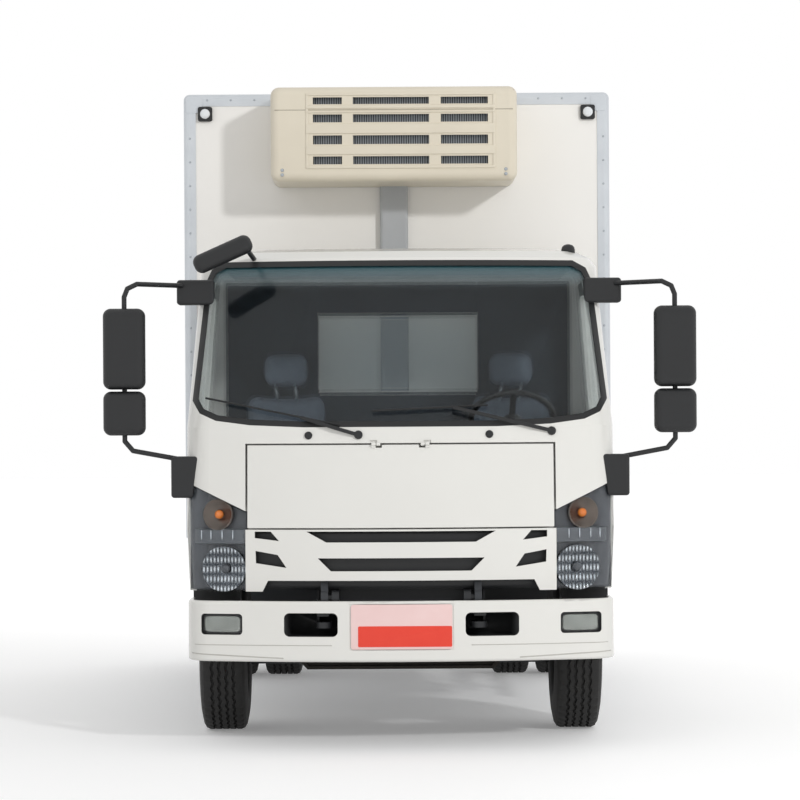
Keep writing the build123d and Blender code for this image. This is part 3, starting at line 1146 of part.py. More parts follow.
# Cab floor with the engine tunnel, the seat stands and the arms to the tilt pin
STAND_X = (TUNNEL_HALF, 790.0)
STAND_SPAN = (930.0, 1400.0)
TUNNEL_WALL = 40.0
FLOOR_BACK_HALF = 900.0
ARM_TOP = (255.0, 955.0)
ARM_HALF = 28.0
ROOM_Y = (FRONT, CAB_INSIDE_Y)
FLOOR_Z_SPAN = (CAB_FLOOR_LOW, CAB_FLOOR_TOP)
with BuildPart() as cab_floor:
    add(BLOCKS[FLOOR_INSET])
    with BuildPart(mode=Mode.INTERSECT):
        slab(FULL_X, ROOM_Y, FLOOR_Z_SPAN)
        slab((-TUNNEL_HALF, TUNNEL_HALF), ROOM_Y, (CAB_FLOOR_LOW, TUNNEL_TOP))
    rear_strip = (CAB_INSIDE_Y - 2 * TUNNEL_WALL, CAB_INSIDE_Y)
    slab((-FLOOR_BACK_HALF, FLOOR_BACK_HALF), rear_strip, FLOOR_Z_SPAN)
    slab((-TUNNEL_HALF, TUNNEL_HALF), rear_strip, (CAB_FLOOR_LOW, TUNNEL_TOP))
    tunnel_inside = TUNNEL_HALF - TUNNEL_WALL
    slab((-tunnel_inside, tunnel_inside), ROOM_Y, (CAB_FLOOR_LOW, TUNNEL_TOP - TUNNEL_WALL), Mode.SUBTRACT)
    for _, sign in SIDES:
        arm = sorted(sign * x for x in TILT_ARM)
        with BuildSketch(side_plane(arm[0])):
            eye_place = (FRONT + TILT_BACK, TILT_Z)
            with Locations(eye_place):
                Circle(TILT_EYE)
            with BuildLine():
                Line(eye_place, (FRONT + ARM_TOP[0], ARM_TOP[1]))
            trace(line_width=2 * ARM_HALF)
        extrude(amount=arm[1] - arm[0])
        pin = [(x, FRONT + TILT_BACK, TILT_Z) for x in arm]
        rod(*pin, TILT_PIN_RADIUS + RUNNING, Mode.SUBTRACT)
        stand_y = [FRONT + depth for depth in STAND_SPAN]
        slab(sorted(sign * x for x in STAND_X), stand_y, (CAB_FLOOR_TOP, TUNNEL_TOP))
save(cab_floor, "cab_floor")

# Dashboard, and the steering wheel with its column turning in the dashboard
DASH_HALF = 930.0
DASH_BACK = 620.0
DASH_Z = (1240.0, 1480.0)
WHEEL_PLACE = (560.0, FRONT + 790.0, 1560.0)
COLUMN_LINE = (0.0, -0.6371, -0.7708)
COLUMN_RADIUS = 20.0
COLUMN_LENGTH = 350.0
COLUMN_HOLE = 352.0
WHEEL_RADIUS = 205.0
WHEEL_RIM = 15.0
WHEEL_HUB = 45.0
WHEEL_HUB_HEIGHT = 50.0
SPOKE_ANGLES = (90.0, 210.0, 330.0)
wheel_face = Plane(origin=WHEEL_PLACE, x_dir=(1, 0, 0), z_dir=COLUMN_LINE)
FROM_WHEEL = (Align.CENTER, Align.CENTER, Align.MIN)

with BuildPart() as dashboard:
    add(BLOCKS[FLOOR_INSET])
    slab((-DASH_HALF, DASH_HALF), (FRONT, FRONT + DASH_BACK), DASH_Z, Mode.INTERSECT)
    fillet(dashboard.faces().sort_by(Axis.Y)[-1].edges().filter_by(Axis.X), WHEEL_HUB)
    with Locations(wheel_face):
        Cylinder(COLUMN_RADIUS + RUNNING, COLUMN_HOLE, align=FROM_WHEEL, mode=Mode.SUBTRACT)
save(dashboard, "dashboard")

with BuildPart() as steering_wheel:
    with Locations(wheel_face):
        Torus(WHEEL_RADIUS, WHEEL_RIM)
        Cylinder(WHEEL_HUB, WHEEL_HUB_HEIGHT, align=FROM_WHEEL)
        Cylinder(COLUMN_RADIUS, COLUMN_LENGTH, align=FROM_WHEEL)
        for angle in SPOKE_ANGLES:
            with Locations(Rotation(0, 0, angle)):
                Box(WHEEL_RADIUS, 2 * WHEEL_RIM, WHEEL_RIM, align=(Align.MIN, Align.CENTER, Align.CENTER))
save(steering_wheel, "steering_wheel")

# Seats: side view of the upholstery
SEAT_X = (330.0, 830.0)
SEAT_SHAPE = (
    (890.0, TUNNEL_TOP),
    (880.0, 1315.0),
    (1330.0, 1335.0),
    (1420.0, 1930.0),
    (1530.0, 1930.0),
    (1450.0, TUNNEL_TOP),
)
SEAT_ROUND = 30.0
with BuildPart() as seats:
    for _, sign in SIDES:
        across = sorted(sign * x for x in SEAT_X)
        with BuildSketch(side_plane(across[0])):
            with BuildLine():
                Polyline(*[(FRONT + depth, z) for depth, z in SEAT_SHAPE], close=True)
            make_face()
        extrude(amount=across[1] - across[0])
    fillet(seats.edges().filter_by(Axis.X), SEAT_ROUND)
save(seats, "seats")

# Mirrors: two heads on a tube on each side, and one on the right pillar for the view ahead
HEAD_X = (1223.0, 1425.0)
HEAD_DEPTHS = (225.0, 330.0)
HEADS = ((1715.0, 2104.0), (1494.0, 1706.0))
HEAD_ROUND = 38.0
TUBE_RADIUS = 12.0
MIRROR_ARM = (
    (1000.0, 330.0, 1366.0),
    (1285.0, 290.0, 1420.0),
    (1324.0, 285.0, 1466.0),
    (1324.0, 285.0, 2160.0),
    (1308.0, 285.0, 2200.0),
    (1262.0, 285.0, 2222.0),
    (960.0, 610.0, 2222.0),
)
BRACKETS = (
    ((960.0, 1102.0), (262.0, 352.0), (1192.0, 1392.0)),
    ((900.0, 1085.0), (500.0, 596.0), (2128.0, 2250.0)),
)
BRACKET_ROUND = 16.0
AHEAD_CENTRE = (-848.0, FRONT + 290.0, 2364.0)
AHEAD_SIZE = (300.0, 80.0, 92.0)
AHEAD_TILT = 24.0
AHEAD_ARM = ((-745.0, FRONT + 300.0, 2405.0), (-700.0, FRONT + 600.0, 2340.0))

with BuildPart() as mirrors:
    for _, sign in SIDES:
        for head_z in HEADS:
            slab(sorted(sign * x for x in HEAD_X), [FRONT + depth for depth in HEAD_DEPTHS], head_z)
    with Locations(Location(AHEAD_CENTRE, (0, -AHEAD_TILT, 0))):
        Box(*AHEAD_SIZE)
    fillet(mirrors.edges(), HEAD_ROUND)
    for _, sign in SIDES:
        arm = [(sign * x, FRONT + depth, z) for x, depth, z in MIRROR_ARM]
        for start, end in zip(arm, arm[1:]):
            rod(start, end, TUBE_RADIUS)
            with Locations(end):
                Sphere(TUBE_RADIUS)
        for across, depths, heights in BRACKETS:
            with BuildPart() as bracket:
                slab(sorted(sign * x for x in across), [FRONT + depth for depth in depths], heights)
                fillet(bracket.edges(), BRACKET_ROUND)
    rod(*AHEAD_ARM, TUBE_RADIUS)
    add(BLOCKS[0], mode=Mode.SUBTRACT)
save(mirrors, "mirrors")

# Steps below the doors: tread, inner wall and back wall
STEP_X = (780.0, 1015.0)
STEP_SPAN = (432.0, 592.0)
STEP_LOW = 470.0
STEP_PLATE = 20.0
STEP_FACES = (
    (STEP_X, STEP_SPAN, (STEP_LOW, STEP_LOW + STEP_PLATE)),
    ((STEP_X[0], STEP_X[0] + STEP_PLATE), STEP_SPAN, (STEP_LOW, CAB_BOTTOM)),
    (STEP_X, (STEP_SPAN[1] - STEP_PLATE, STEP_SPAN[1]), (STEP_LOW, CAB_BOTTOM)),
)
with BuildPart() as steps:
    for _, sign in SIDES:
        for across, depths, heights in STEP_FACES:
            slab(sorted(sign * x for x in across), [FRONT + depth for depth in depths], heights)
save(steps, "cab_steps")
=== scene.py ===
# %% [markdown]
# # A refrigerated truck, piece by piece
# The solid model of the truck is already packed as a frame of named nodes that ride on moving bodies.
# This lesson dresses it: every node gets the finish of the real material, and the small pieces that
# a solid model leaves out, such as tread, lamps, rivets, wipers and seats, are worked out here.

# %% Load the frame
import math

import bmesh
import bpy
import numpy as np
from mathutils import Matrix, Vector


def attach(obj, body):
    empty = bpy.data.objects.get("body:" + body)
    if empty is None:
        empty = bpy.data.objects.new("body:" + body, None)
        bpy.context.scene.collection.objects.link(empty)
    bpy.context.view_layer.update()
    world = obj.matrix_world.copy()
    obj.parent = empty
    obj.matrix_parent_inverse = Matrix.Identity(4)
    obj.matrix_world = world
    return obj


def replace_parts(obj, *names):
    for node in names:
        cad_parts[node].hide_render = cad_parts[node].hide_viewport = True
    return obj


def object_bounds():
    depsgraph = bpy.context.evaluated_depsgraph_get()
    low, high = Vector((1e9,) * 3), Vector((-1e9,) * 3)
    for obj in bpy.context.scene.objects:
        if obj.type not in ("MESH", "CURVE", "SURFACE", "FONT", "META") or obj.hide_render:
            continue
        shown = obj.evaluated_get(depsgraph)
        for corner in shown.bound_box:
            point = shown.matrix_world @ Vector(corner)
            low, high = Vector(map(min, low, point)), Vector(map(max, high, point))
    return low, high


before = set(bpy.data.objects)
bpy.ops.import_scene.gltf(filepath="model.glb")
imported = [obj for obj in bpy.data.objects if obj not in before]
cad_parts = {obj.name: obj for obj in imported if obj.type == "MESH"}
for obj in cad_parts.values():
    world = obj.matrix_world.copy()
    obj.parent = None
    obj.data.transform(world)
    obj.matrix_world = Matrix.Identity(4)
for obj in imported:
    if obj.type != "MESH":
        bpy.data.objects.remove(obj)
cad_box = [list(map(float, corner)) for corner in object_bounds()]
FRONT = cad_box[0][1]
print("CAD box", cad_box)

# %% [markdown]
# All lengths below are millimetres, because the truck was measured that way, and depths count from the
# foremost point of the bumper. One function turns such a place into Blender's metres.

# %% Millimetres to metres
MM = 0.001


def place(x, depth, z):
    """Point arrays in metres from x, depth behind the front and height in millimetres."""
    x, depth, z = np.broadcast_arrays(x, depth, z)
    return np.stack([x * MM, depth * MM + FRONT, z * MM], axis=-1)


print("front at y", FRONT)

# %% [markdown]
# A surface is a grid of points, so its faces can be listed without looking at the points at all.
# A shape is kept as a pair of points and faces, and several shapes join into one piece.

# %% Grids and shapes
def grid_faces(rows, columns, wrap_rows=False, wrap_columns=False):
    """Quads of a grid: each joins a point to the next in its row and in its column."""
    index = np.arange(rows * columns).reshape(rows, columns)
    if wrap_rows:
        index = np.vstack([index, index[:1]])
    if wrap_columns:
        index = np.hstack([index, index[:, :1]])
    quads = np.stack([index[:-1, :-1], index[:-1, 1:], index[1:, 1:], index[1:, :-1]], axis=-1)
    return quads.reshape(-1, 4).tolist()


def rings(points):
    """Closed rings of points, one after the other, joined into a skin with its two ends closed."""
    rows, columns = points.shape[:2]
    faces = grid_faces(rows, columns, wrap_columns=True)
    faces.append(list(range(columns))[::-1])
    faces.append(list(range((rows - 1) * columns, rows * columns)))
    return points.reshape(-1, 3), faces


def joined(shapes):
    """One shape from several: points in one list, each face list moved on by the points before it."""
    starts = np.cumsum([0] + [len(points) for points, _ in shapes])
    faces = [[i + int(start) for i in face] for (_, part), start in zip(shapes, starts) for face in part]
    return np.concatenate([points for points, _ in shapes]), faces


def placed(name, data):
    """New object of some data, linked into the scene."""
    made = bpy.data.objects.new(name, data)
    bpy.context.collection.objects.link(made)
    return made


def piece(name, shape, body, material):
    """Makes a mesh piece at the origin, with its faces outwards, riding on a body."""
    points, faces = shape
    mesh = bpy.data.meshes.new(name)
    mesh.from_pydata(points.tolist(), [], faces)
    mesh.validate()
    skin = bmesh.new()
    skin.from_mesh(mesh)
    bmesh.ops.recalc_face_normals(skin, faces=skin.faces)
    skin.to_mesh(mesh)
    skin.free()
    mesh.polygons.foreach_set("use_smooth", np.ones(len(mesh.polygons), bool))
    mesh.materials.append(material)
    made = placed(name, mesh)
    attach(made, body)
    return made


def sharpened(made, degrees=35):
    """Keeps edges sharper than an angle crisp on a smooth piece."""
    made.data.set_sharp_from_angle(angle=math.radians(degrees))
    return made


print("grid of 3 by 4 points has", len(grid_faces(3, 4)), "faces")

# %% [markdown]
# Most hard pieces on a truck are one of three things: a bar that runs along a path, a turned piece such
# as a nut or a hub cap, or a moulded block with rounded edges. Each is one profile carried along.

# %% Bars and turned pieces
def bar(path, profile, up=(0, 0, 1)):
    """A flat profile carried along a path: each ring stands across the path's direction there."""
    along = np.gradient(path, axis=0)
    along /= np.linalg.norm(along, axis=1, keepdims=True)
    side = np.cross(along, up)
    side /= np.linalg.norm(side, axis=1, keepdims=True)
    rise = np.cross(side, along)
    points = path[:, None] + profile[None, :, :1] * side[:, None] + profile[None, :, 1:] * rise[:, None]
    return rings(points)


def circle(radius, steps):
    """Round profile: cosine and sine of equal angles times the radius."""
    angle = np.linspace(0, 2 * np.pi, steps, endpoint=False)
    return radius * np.stack([np.cos(angle), np.sin(angle)], axis=1)


AXES = {"x": (1, 2, 0), "y": (2, 0, 1), "z": (0, 1, 2)}


def turned(profile, centre, axis, steps):
    """A profile of radius and height turned round an axis: radius times cosine and sine, at its height."""
    profile = np.asarray(profile, float)
    ring = circle(1.0, steps)
    first, second, third = AXES[axis]
    points = np.zeros((len(profile), steps, 3))
    points[..., first] = profile[:, None, 0] * ring[None, :, 0]
    points[..., second] = profile[:, None, 0] * ring[None, :, 1]
    points[..., third] = profile[:, None, 1]
    return rings(points * MM + place(*centre))


print("a round profile of 8 starts at", circle(1.0, 8)[0])

# %% [markdown]
# A moulded block is a round rectangle carried along an axis and drawn in at both ends, so that every edge
# catches the light. Most come in pairs, so one function takes the left one's numbers and mirrors them.

# %% Moulded blocks
SIDES, SIGNS = (("left", 1), ("right", -1)), (1, -1)
EDGE_STEPS = 4


def round_rectangle(width, height, radius, steps=5):
    """Rectangle with round corners: a quarter circle at each corner, starting at the right."""
    angle = np.linspace(0, np.pi / 2, steps)
    arc = np.stack([np.cos(angle), np.sin(angle)], axis=1) * radius
    middle = np.array([width / 2 - radius, height / 2 - radius])
    turns = [arc, np.stack([-arc[:, 1], arc[:, 0]], 1), -arc, np.stack([arc[:, 1], -arc[:, 0]], 1)]
    signs = [(1, 1), (-1, 1), (-1, -1), (1, -1)]
    return np.concatenate([part + middle * sign for part, sign in zip(turns, signs)])


def block(low, high, corner, edge, axis="y"):
    """Moulded block: a round rectangle carried along an axis and drawn in over a quarter circle at each end."""
    low, high = np.asarray(low, float), np.asarray(high, float)
    first, second, third = AXES[axis]
    size, centre = high - low, (high + low) / 2
    bend = np.linspace(0, np.pi / 2, EDGE_STEPS)
    drawn = np.concatenate([edge * (1 - np.sin(bend)), edge * (1 - np.cos(bend))])
    reach = np.concatenate([low[third] + edge * (1 - np.cos(bend)), high[third] - edge * (1 - np.sin(bend))])
    flat = round_rectangle(size[first], size[second], corner)
    share = 1 - 2 * drawn[:, None, None] / np.array([size[first], size[second]])
    points = np.zeros((len(reach), len(flat), 3))
    points[..., first] = flat[None, :, 0] * share[..., 0] + centre[first]
    points[..., second] = flat[None, :, 1] * share[..., 1] + centre[second]
    points[..., third] = reach[:, None]
    return rings(place(*np.moveaxis(points, -1, 0)))


def side_block(sign, low, high, *form):
    """Block of the left side, or with a sign of minus one its mirror image."""
    inner, outer = sorted((sign * low[0], sign * high[0]))
    return block((inner, *low[1:]), (outer, *high[1:]), *form)


def pair(*form):
    """The left block and its mirror image, as one shape."""
    return joined([side_block(sign, *form) for sign in SIGNS])


print("moulded block has", len(block((0, 0, 0), (80, 40, 20), 6, 2)[1]), "faces")

# %% [markdown]
# Colours are written in sRGB hex, as a screen shows them, and turned into the renderer's linear light. A shader
# node is added by setting plain values on its sockets and linking those of other nodes, and a few such nodes
# make a material.

# %% Colour and nodes
def linear(code):
    """Linear red, green, blue and alpha of an sRGB hex code."""
    value = np.array([int(code[i:i + 2], 16) for i in (0, 2, 4)]) / 255
    curve = np.where(value <= 0.04045, value / 12.92, ((value + 0.055) / 1.055) ** 2.4)
    return (*map(float, curve), 1.0)


def node(tree, kind, inputs=(), **settings):
    """Adds a node, sets its properties, and fills its inputs with values or links."""
    made = tree.nodes.new("ShaderNode" + kind)
    for key, value in settings.items():
        setattr(made, key, value)
    for key, value in dict(inputs).items():
        if isinstance(value, bpy.types.NodeSocket):
            tree.links.new(value, made.inputs[key])
        else:
            made.inputs[key].default_value = value
    return made


def feed(tree, name, socket):
    """Links a socket into an input of a material's shader."""
    tree.links.new(socket, tree.nodes["Principled BSDF"].inputs[name])


def finish(name, low, high, roughness, patch_mm, grain_mm, depth_mm, stretch=(1, 1, 1), **shader):
    """Material with patches of slightly different colour, a sheen that changes with them, and a fine grain."""
    made = bpy.data.materials.new(name)
    made.use_nodes = True
    tree = made.node_tree
    where = node(tree, "TexCoord").outputs["Object"]
    turned_to = node(tree, "Mapping", {"Vector": where, "Scale": stretch}).outputs["Vector"]
    wide = {"Vector": turned_to, "Scale": 1 / (patch_mm * MM), "Detail": 4.0}
    fine = {"Vector": turned_to, "Scale": 1 / (grain_mm * MM), "Detail": 2.0}
    patch, grain = (node(tree, "TexNoise", spread) for spread in (wide, fine))
    shades = {"Fac": patch.outputs["Fac"], "Color1": linear(low), "Color2": linear(high)}
    feed(tree, "Base Color", node(tree, "MixRGB", shades).outputs["Color"])
    shine = {"Value": patch.outputs["Fac"], "To Min": roughness[0], "To Max": roughness[1]}
    feed(tree, "Roughness", node(tree, "MapRange", shine).outputs["Result"])
    relief = {"Height": grain.outputs["Fac"], "Strength": 0.5, "Distance": depth_mm * MM}
    feed(tree, "Normal", node(tree, "Bump", relief).outputs["Normal"])
    for key, value in shader.items():
        tree.nodes["Principled BSDF"].inputs[key.replace("_", " ")].default_value = value
    return made


print("sRGB 808080 is linear", round(linear("808080")[0], 3))

# %% [markdown]
# The cab is pressed steel under sprayed white enamel: glossy, with the faint ripple of orange peel a few
# millimetres wide. The box is glassfibre gelcoat on foam, flatter and a little lighter. The unit's housing is
# vacuum-formed plastic in a warm cream. Each gets its own pair of near colours and its own sheen.

# %% Paint, gelcoat and plastic
ENAMEL = finish("white_enamel", "DEDDD8", "E4E3DE", (0.16, 0.24), 420, 5, 0.03,
                Coat_Weight=0.35, Coat_Roughness=0.06)
# A darker enamel, painted shade for the bumper's creases.
ENAMEL_SHADE = finish("enamel_shadow_line", "B4B2AB", "C0BEB8", (0.3, 0.4), 200, 5, 0.02)
GELCOAT = finish("white_gelcoat", "ECEAE6", "F3F1ED", (0.3, 0.4), 600, 9, 0.08)
CREAM = finish("cream_formed_plastic", "D6CDBB", "E0D8C6", (0.34, 0.46), 260, 3, 0.06)
COVER_GREY = finish("grey_powder_coat", "A9ACAF", "B6B9BC", (0.4, 0.5), 180, 4, 0.06)
BLACK_PP = finish("black_moulded_polypropylene", "151617", "1F2022", (0.42, 0.58), 90, 1.6, 0.12)
CHASSIS = finish("black_chassis_enamel", "17181A", "24262A", (0.42, 0.62), 220, 5, 0.12)
DASH = finish("blue_grey_moulded_plastic", "464D57", "535B66", (0.5, 0.62), 160, 2.2, 0.15)
FLOOR_MAT = finish("grey_floor_rubber", "2E3033", "3A3C40", (0.6, 0.75), 120, 4, 0.3)
TANK = finish("dark_tank_enamel", "2B2D30", "373A3E", (0.35, 0.5), 240, 6, 0.1)
print(ENAMEL.name, "to", TANK.name)

# %% [markdown]
# Metals keep their own colour in the reflection, so bare ones are metallic, and paint, stain or oxide on the
# others takes some of that away. They differ in how they were worked: extruded aluminium has fine lines along
# it, galvanised steel has crystals a centimetre or two wide, and cast iron is dull, pitted and stained.

# %% Metals
ALUMINIUM = finish("extruded_aluminium", "C3C8CD", "D6DADE", (0.34, 0.46), 140, 4, 0.05, (1, 0.04, 1),
                   Metallic=0.5)
GALVANISED = finish("galvanised_steel", "A2A8AE", "BFC5CA", (0.3, 0.5), 16, 3, 0.03, Metallic=0.9)
CAST_IRON = finish("cast_iron", "2C2A28", "47403A", (0.6, 0.8), 60, 3, 0.5, Metallic=0.3)
WHEEL_PAINT = finish("silver_wheel_enamel", "B5B8BB", "C6C9CC", (0.3, 0.42), 120, 2, 0.04, Metallic=0.35)
MIRROR = finish("silvered_glass", "C9D0D5", "D4DADE", (0.02, 0.04), 400, 80, 0.0, Metallic=1.0)
REFLECTOR = finish("aluminised_reflector", "A9AEB4", "C2C7CC", (0.12, 0.2), 60, 12, 0.05, Metallic=1.0)
print(ALUMINIUM.name, "to", REFLECTOR.name)

# %% [markdown]
# Tyre rubber is black with carbon, dull where the road has dusted it. Seals are the same material, cleaner.

# %% Rubber
TYRE = finish("tyre_rubber", "1B1B1C", "2A2927", (0.62, 0.82), 70, 2, 0.25)
SEAL = finish("black_seal_rubber", "101112", "191A1B", (0.45, 0.6), 60, 2, 0.08)
print(TYRE.name, "and", SEAL.name)

# %% [markdown]
# Glass and lamp lenses let light through. The windscreen carries a band of teal along its upper edge that
# fades out downwards: the height in Object coordinates, stretched over the band, mixes the two colours.
# Most of each pane counts as open air, so that sunlight passes straight through it into the cab, and a thin
# pane hardly bends what is seen through it, so its index lies close to one and a clear coat gives the shine.

# %% Glass and lenses
CLEAR_ALPHA = 0.35
BAND_MM, BAND_ALPHA, BAND_CLEAR = (2190, 2330), 0.8, 0.3


def clear(name, low, high, coat=1.0):
    """Transparent material of a thin pane, with a clear coat for its shine."""
    return finish(name, low, high, (0.02, 0.03), 500, 60, 0.0, Transmission_Weight=1.0, IOR=1.03,
                  Alpha=CLEAR_ALPHA, Coat_Weight=coat, Coat_Roughness=0.02)


def tinted(tree, share, code, first, second):
    """Mixes a colour into a material's own, each at the named end of the share."""
    plain = tree.nodes["Principled BSDF"].inputs["Base Color"].links[0].from_socket
    shades = {"Fac": share, first: plain, second: linear(code)}
    feed(tree, "Base Color", node(tree, "MixRGB", shades).outputs["Color"])


def banded(made, code):
    """Adds the band: between two heights the colour, the opacity and the clearness change over smoothly."""
    tree = made.node_tree
    where = node(tree, "TexCoord").outputs["Object"]
    height = node(tree, "SeparateXYZ", {"Vector": where}).outputs["Z"]
    limits = {"Value": height, "From Min": BAND_MM[0] * MM, "From Max": BAND_MM[1] * MM}
    share = node(tree, "MapRange", limits, interpolation_type="SMOOTHSTEP").outputs["Result"]
    tinted(tree, share, code, "Color1", "Color2")
    for key, low, high in (("Alpha", CLEAR_ALPHA, BAND_ALPHA), ("Transmission Weight", 1.0, BAND_CLEAR)):
        change = node(tree, "MapRange", {"Value": share, "To Min": low, "To Max": high})
        feed(tree, key, change.outputs["Result"])
    return made


WINDOW = clear("toughened_green_glass", "B9CFCB", "C2D6D2")
SCREEN_GLASS = banded(clear("laminated_screen_glass", "BCCACF", "C5D2D6"), "1D5E68")
LENS = clear("clear_polycarbonate", "EEF2F4", "F7F9FA", 0.3)
RED_LENS = finish("red_acrylic", "9A1518", "B01C1E", (0.1, 0.16), 60, 6, 0.2, Coat_Weight=0.5)
AMBER_LENS = finish("amber_lens_acrylic", "D9701C", "E8832A", (0.12, 0.2), 50, 6, 0.2, Coat_Weight=0.4)
LENS_WHITE = finish("white_lens_acrylic", "D8DCDF", "E8EBED", (0.08, 0.14), 40, 4, 0.1, Coat_Weight=0.5)
SMOKED_REFLECTOR = finish("smoked_reflector", "4E4743", "756B63", (0.16, 0.26), 40, 8, 0.1, Metallic=0.9)
FOG_REFLECTOR = finish("smoked_fog_reflector", "6F726E", "A3A6A1", (0.2, 0.3), 70, 6, 0.05, Metallic=0.6)
LAMP_BAR = finish("grey_lamp_moulding", "4F5358", "5E6267", (0.25, 0.35), 60, 3, 0.05)
SMOKE = finish("smoke_grey_lamp_body", "45484D", "54575C", (0.25, 0.35), 90, 3, 0.05)
print("teal band", BAND_MM[1] - BAND_MM[0], "mm deep")

# %% [markdown]
# Each node of the solid model takes the finish of the real piece.

# %% Finishes on the solid model
FINISHES = {
    ENAMEL: ("cab_front_panel", "cab_sides", "cab_roof", "cab_back_wall", "cab_door_left", "cab_door_right",
             "front_lid", "grille", "front_bumper"),
    GELCOAT: ("box_front_wall", "box_side_walls", "box_roof", "rear_door_left", "rear_door_right"),
    ALUMINIUM: ("box_edge_rails", "box_floor", "side_guards"),
    GALVANISED: ("box_rear_portal", "rear_underrun_bar"),
    CREAM: ("fridge_housing",),
    COVER_GREY: ("fridge_line_cover",),
    BLACK_PP: ("mirrors", "cab_steps", "rear_mudguards", "steering_wheel", "battery_box"),
    CHASSIS: ("tie_rod", "leaf_springs", "frame_rails", "frame_crossmembers", "propeller_shaft",
              "box_subframe"),
    TANK: ("fuel_tank", "exhaust_silencer"),
    CAST_IRON: ("knuckle_left", "knuckle_right", "front_axle", "rear_axle", "engine_gearbox"),
    WHEEL_PAINT: ("rim_front_left", "rim_front_right", "rims_rear_left", "rims_rear_right"),
    SEAL: ("windscreen_seal",),
    SCREEN_GLASS: ("cab_glass",),
    WINDOW: ("cab_door_glass_left", "cab_door_glass_right"),
    LENS: ("headlamp_lenses",),
    RED_LENS: ("rear_lamps",),
    FLOOR_MAT: ("cab_floor",),
    DASH: ("dashboard",),
    SMOKE: ("headlamp_housings",),
    TYRE: ("tyre_front_left", "tyre_front_right", "tyres_rear_left", "tyres_rear_right"),
}


def give(name, material):
    """Puts one material on a node of the solid model, in place of what it has."""
    materials = bpy.data.objects[name].data.materials
    materials.clear()
    materials.append(material)


for material, names in FINISHES.items():
    for name in names:
        give(name, material)
print(sum(map(len, FINISHES.values())), "nodes finished")

# %% [markdown]
# The condenser coil is a stack of thin upright fins, too many to model, so a wave across it darkens the gaps
# between them with painted shade, far enough apart to show. A headlamp's reflector is fluted, and painted shade
# follows its flutes in this way, upright and level.

# %% Fins and flutes
FIN_PITCH_MM, FLUTE_PITCH_MM, STEP_PITCH_MM = 12, 17, 46


def painted_shade_lines(made, pitch_mm, code, direction="X"):
    """Darkens a material along even lines, as painted shade: a wave across one direction mixes in a second
    colour.
    """
    tree = made.node_tree
    where = node(tree, "TexCoord").outputs["Object"]
    spread = {"Vector": where, "Scale": math.pi / (10 * pitch_mm * MM)}
    wave = node(tree, "TexWave", spread, bands_direction=direction)
    tinted(tree, wave.outputs["Fac"], code, "Color2", "Color1")
    return made


FINS = finish("aluminium_fins", "8D9296", "A9AEB2", (0.35, 0.5), 90, 3, 0.05, Metallic=0.8)
# The second colour is painted shade in the gaps between the fins.
painted_shade_lines(FINS, FIN_PITCH_MM, "3A3D40")
FLUTED = finish("fluted_reflector", "AEB4BA", "E6EAEE", (0.1, 0.2), 30, 8, 0.05, Metallic=0.9)
# Painted shade along the reflector's upright flutes and level steps.
painted_shade_lines(painted_shade_lines(FLUTED, FLUTE_PITCH_MM, "2B2F34"), STEP_PITCH_MM, "4A4F55", "Z")
give("fridge_condenser", FINS)
print("fins every", FIN_PITCH_MM, "mm")

# %% [markdown]
# Many small pieces lie on the cab's skin, so its shape is needed as a formula. The cab's plan is a shallow
# arc across the front, a tight arc at each corner and straight sides, and its numbers change with height.
# A point is found at a width and a height, and moved in or out along the level normal of those arcs.

# %% The cab's skin as a formula
CAB_HEIGHTS = (748, 1051, 1529, 2310, 2352, 2386, 2405)
CAB_NOSE = (62, 52, 112, 430, 462, 530, 660)
CAB_HALF = (1018, 1030, 1030, 972, 945, 885, 750)
CAB_BOW = (3200, 3200, 3100, 3000, 3000, 3000, 3000)
CAB_CORNER = (150, 155, 160, 155, 160, 165, 170)


def on_plan(x, z, nose, half, bow, corner, inset):
    """Points on a bowed front with round corners: an arc, then a tighter arc, moved in along their normal."""
    corner_x = half - corner
    corner_depth = nose + bow - np.sqrt((bow - corner) ** 2 - corner_x**2)
    width = np.abs(x)
    on_bow = width <= bow * corner_x / (bow - corner)
    tight = np.arcsin(np.clip((width - corner_x) / corner, 0, 1))
    turn = np.where(on_bow, np.arcsin(np.clip(width / bow, 0, 1)), tight)
    depth = np.where(on_bow, nose + bow - bow * np.cos(turn), corner_depth - corner * np.cos(turn))
    return place(x - np.sign(x) * inset * np.sin(turn), depth + inset * np.cos(turn), z)


def on_cab(x, z, inset=0.0):
    """Points on the cab's front at widths and heights, its numbers read from the table at each height."""
    numbers = [np.interp(z, CAB_HEIGHTS, row) for row in (CAB_NOSE, CAB_HALF, CAB_BOW, CAB_CORNER)]
    return on_plan(x, z, *numbers, inset)


def cab_spot(x, z, inset=0.0):
    """One place on the cab's skin, as x, depth and height in millimetres."""
    found = on_cab(x, z, inset) / MM
    return found[0], found[1] - FRONT / MM, found[2]


print("the cab's lower edge lies", CAB_NOSE[0], "mm behind the bumper's front")

# %% [markdown]
# The bumper has such a plan too, the same at every height. A thin wall on these skins is a grid of points, the
# same grid again a little behind it, and a strip that joins their edges.

# %% The bumper's skin and thin walls
# Nose, half width, radius of the bow and radius of the corners.
BUMPER = (0.0, 1022.0, 3300.0, 150.0)


def on_bumper(x, z, inset=0.0):
    """Points on the bumper's front at widths and heights."""
    return on_plan(x, z, *BUMPER, inset)


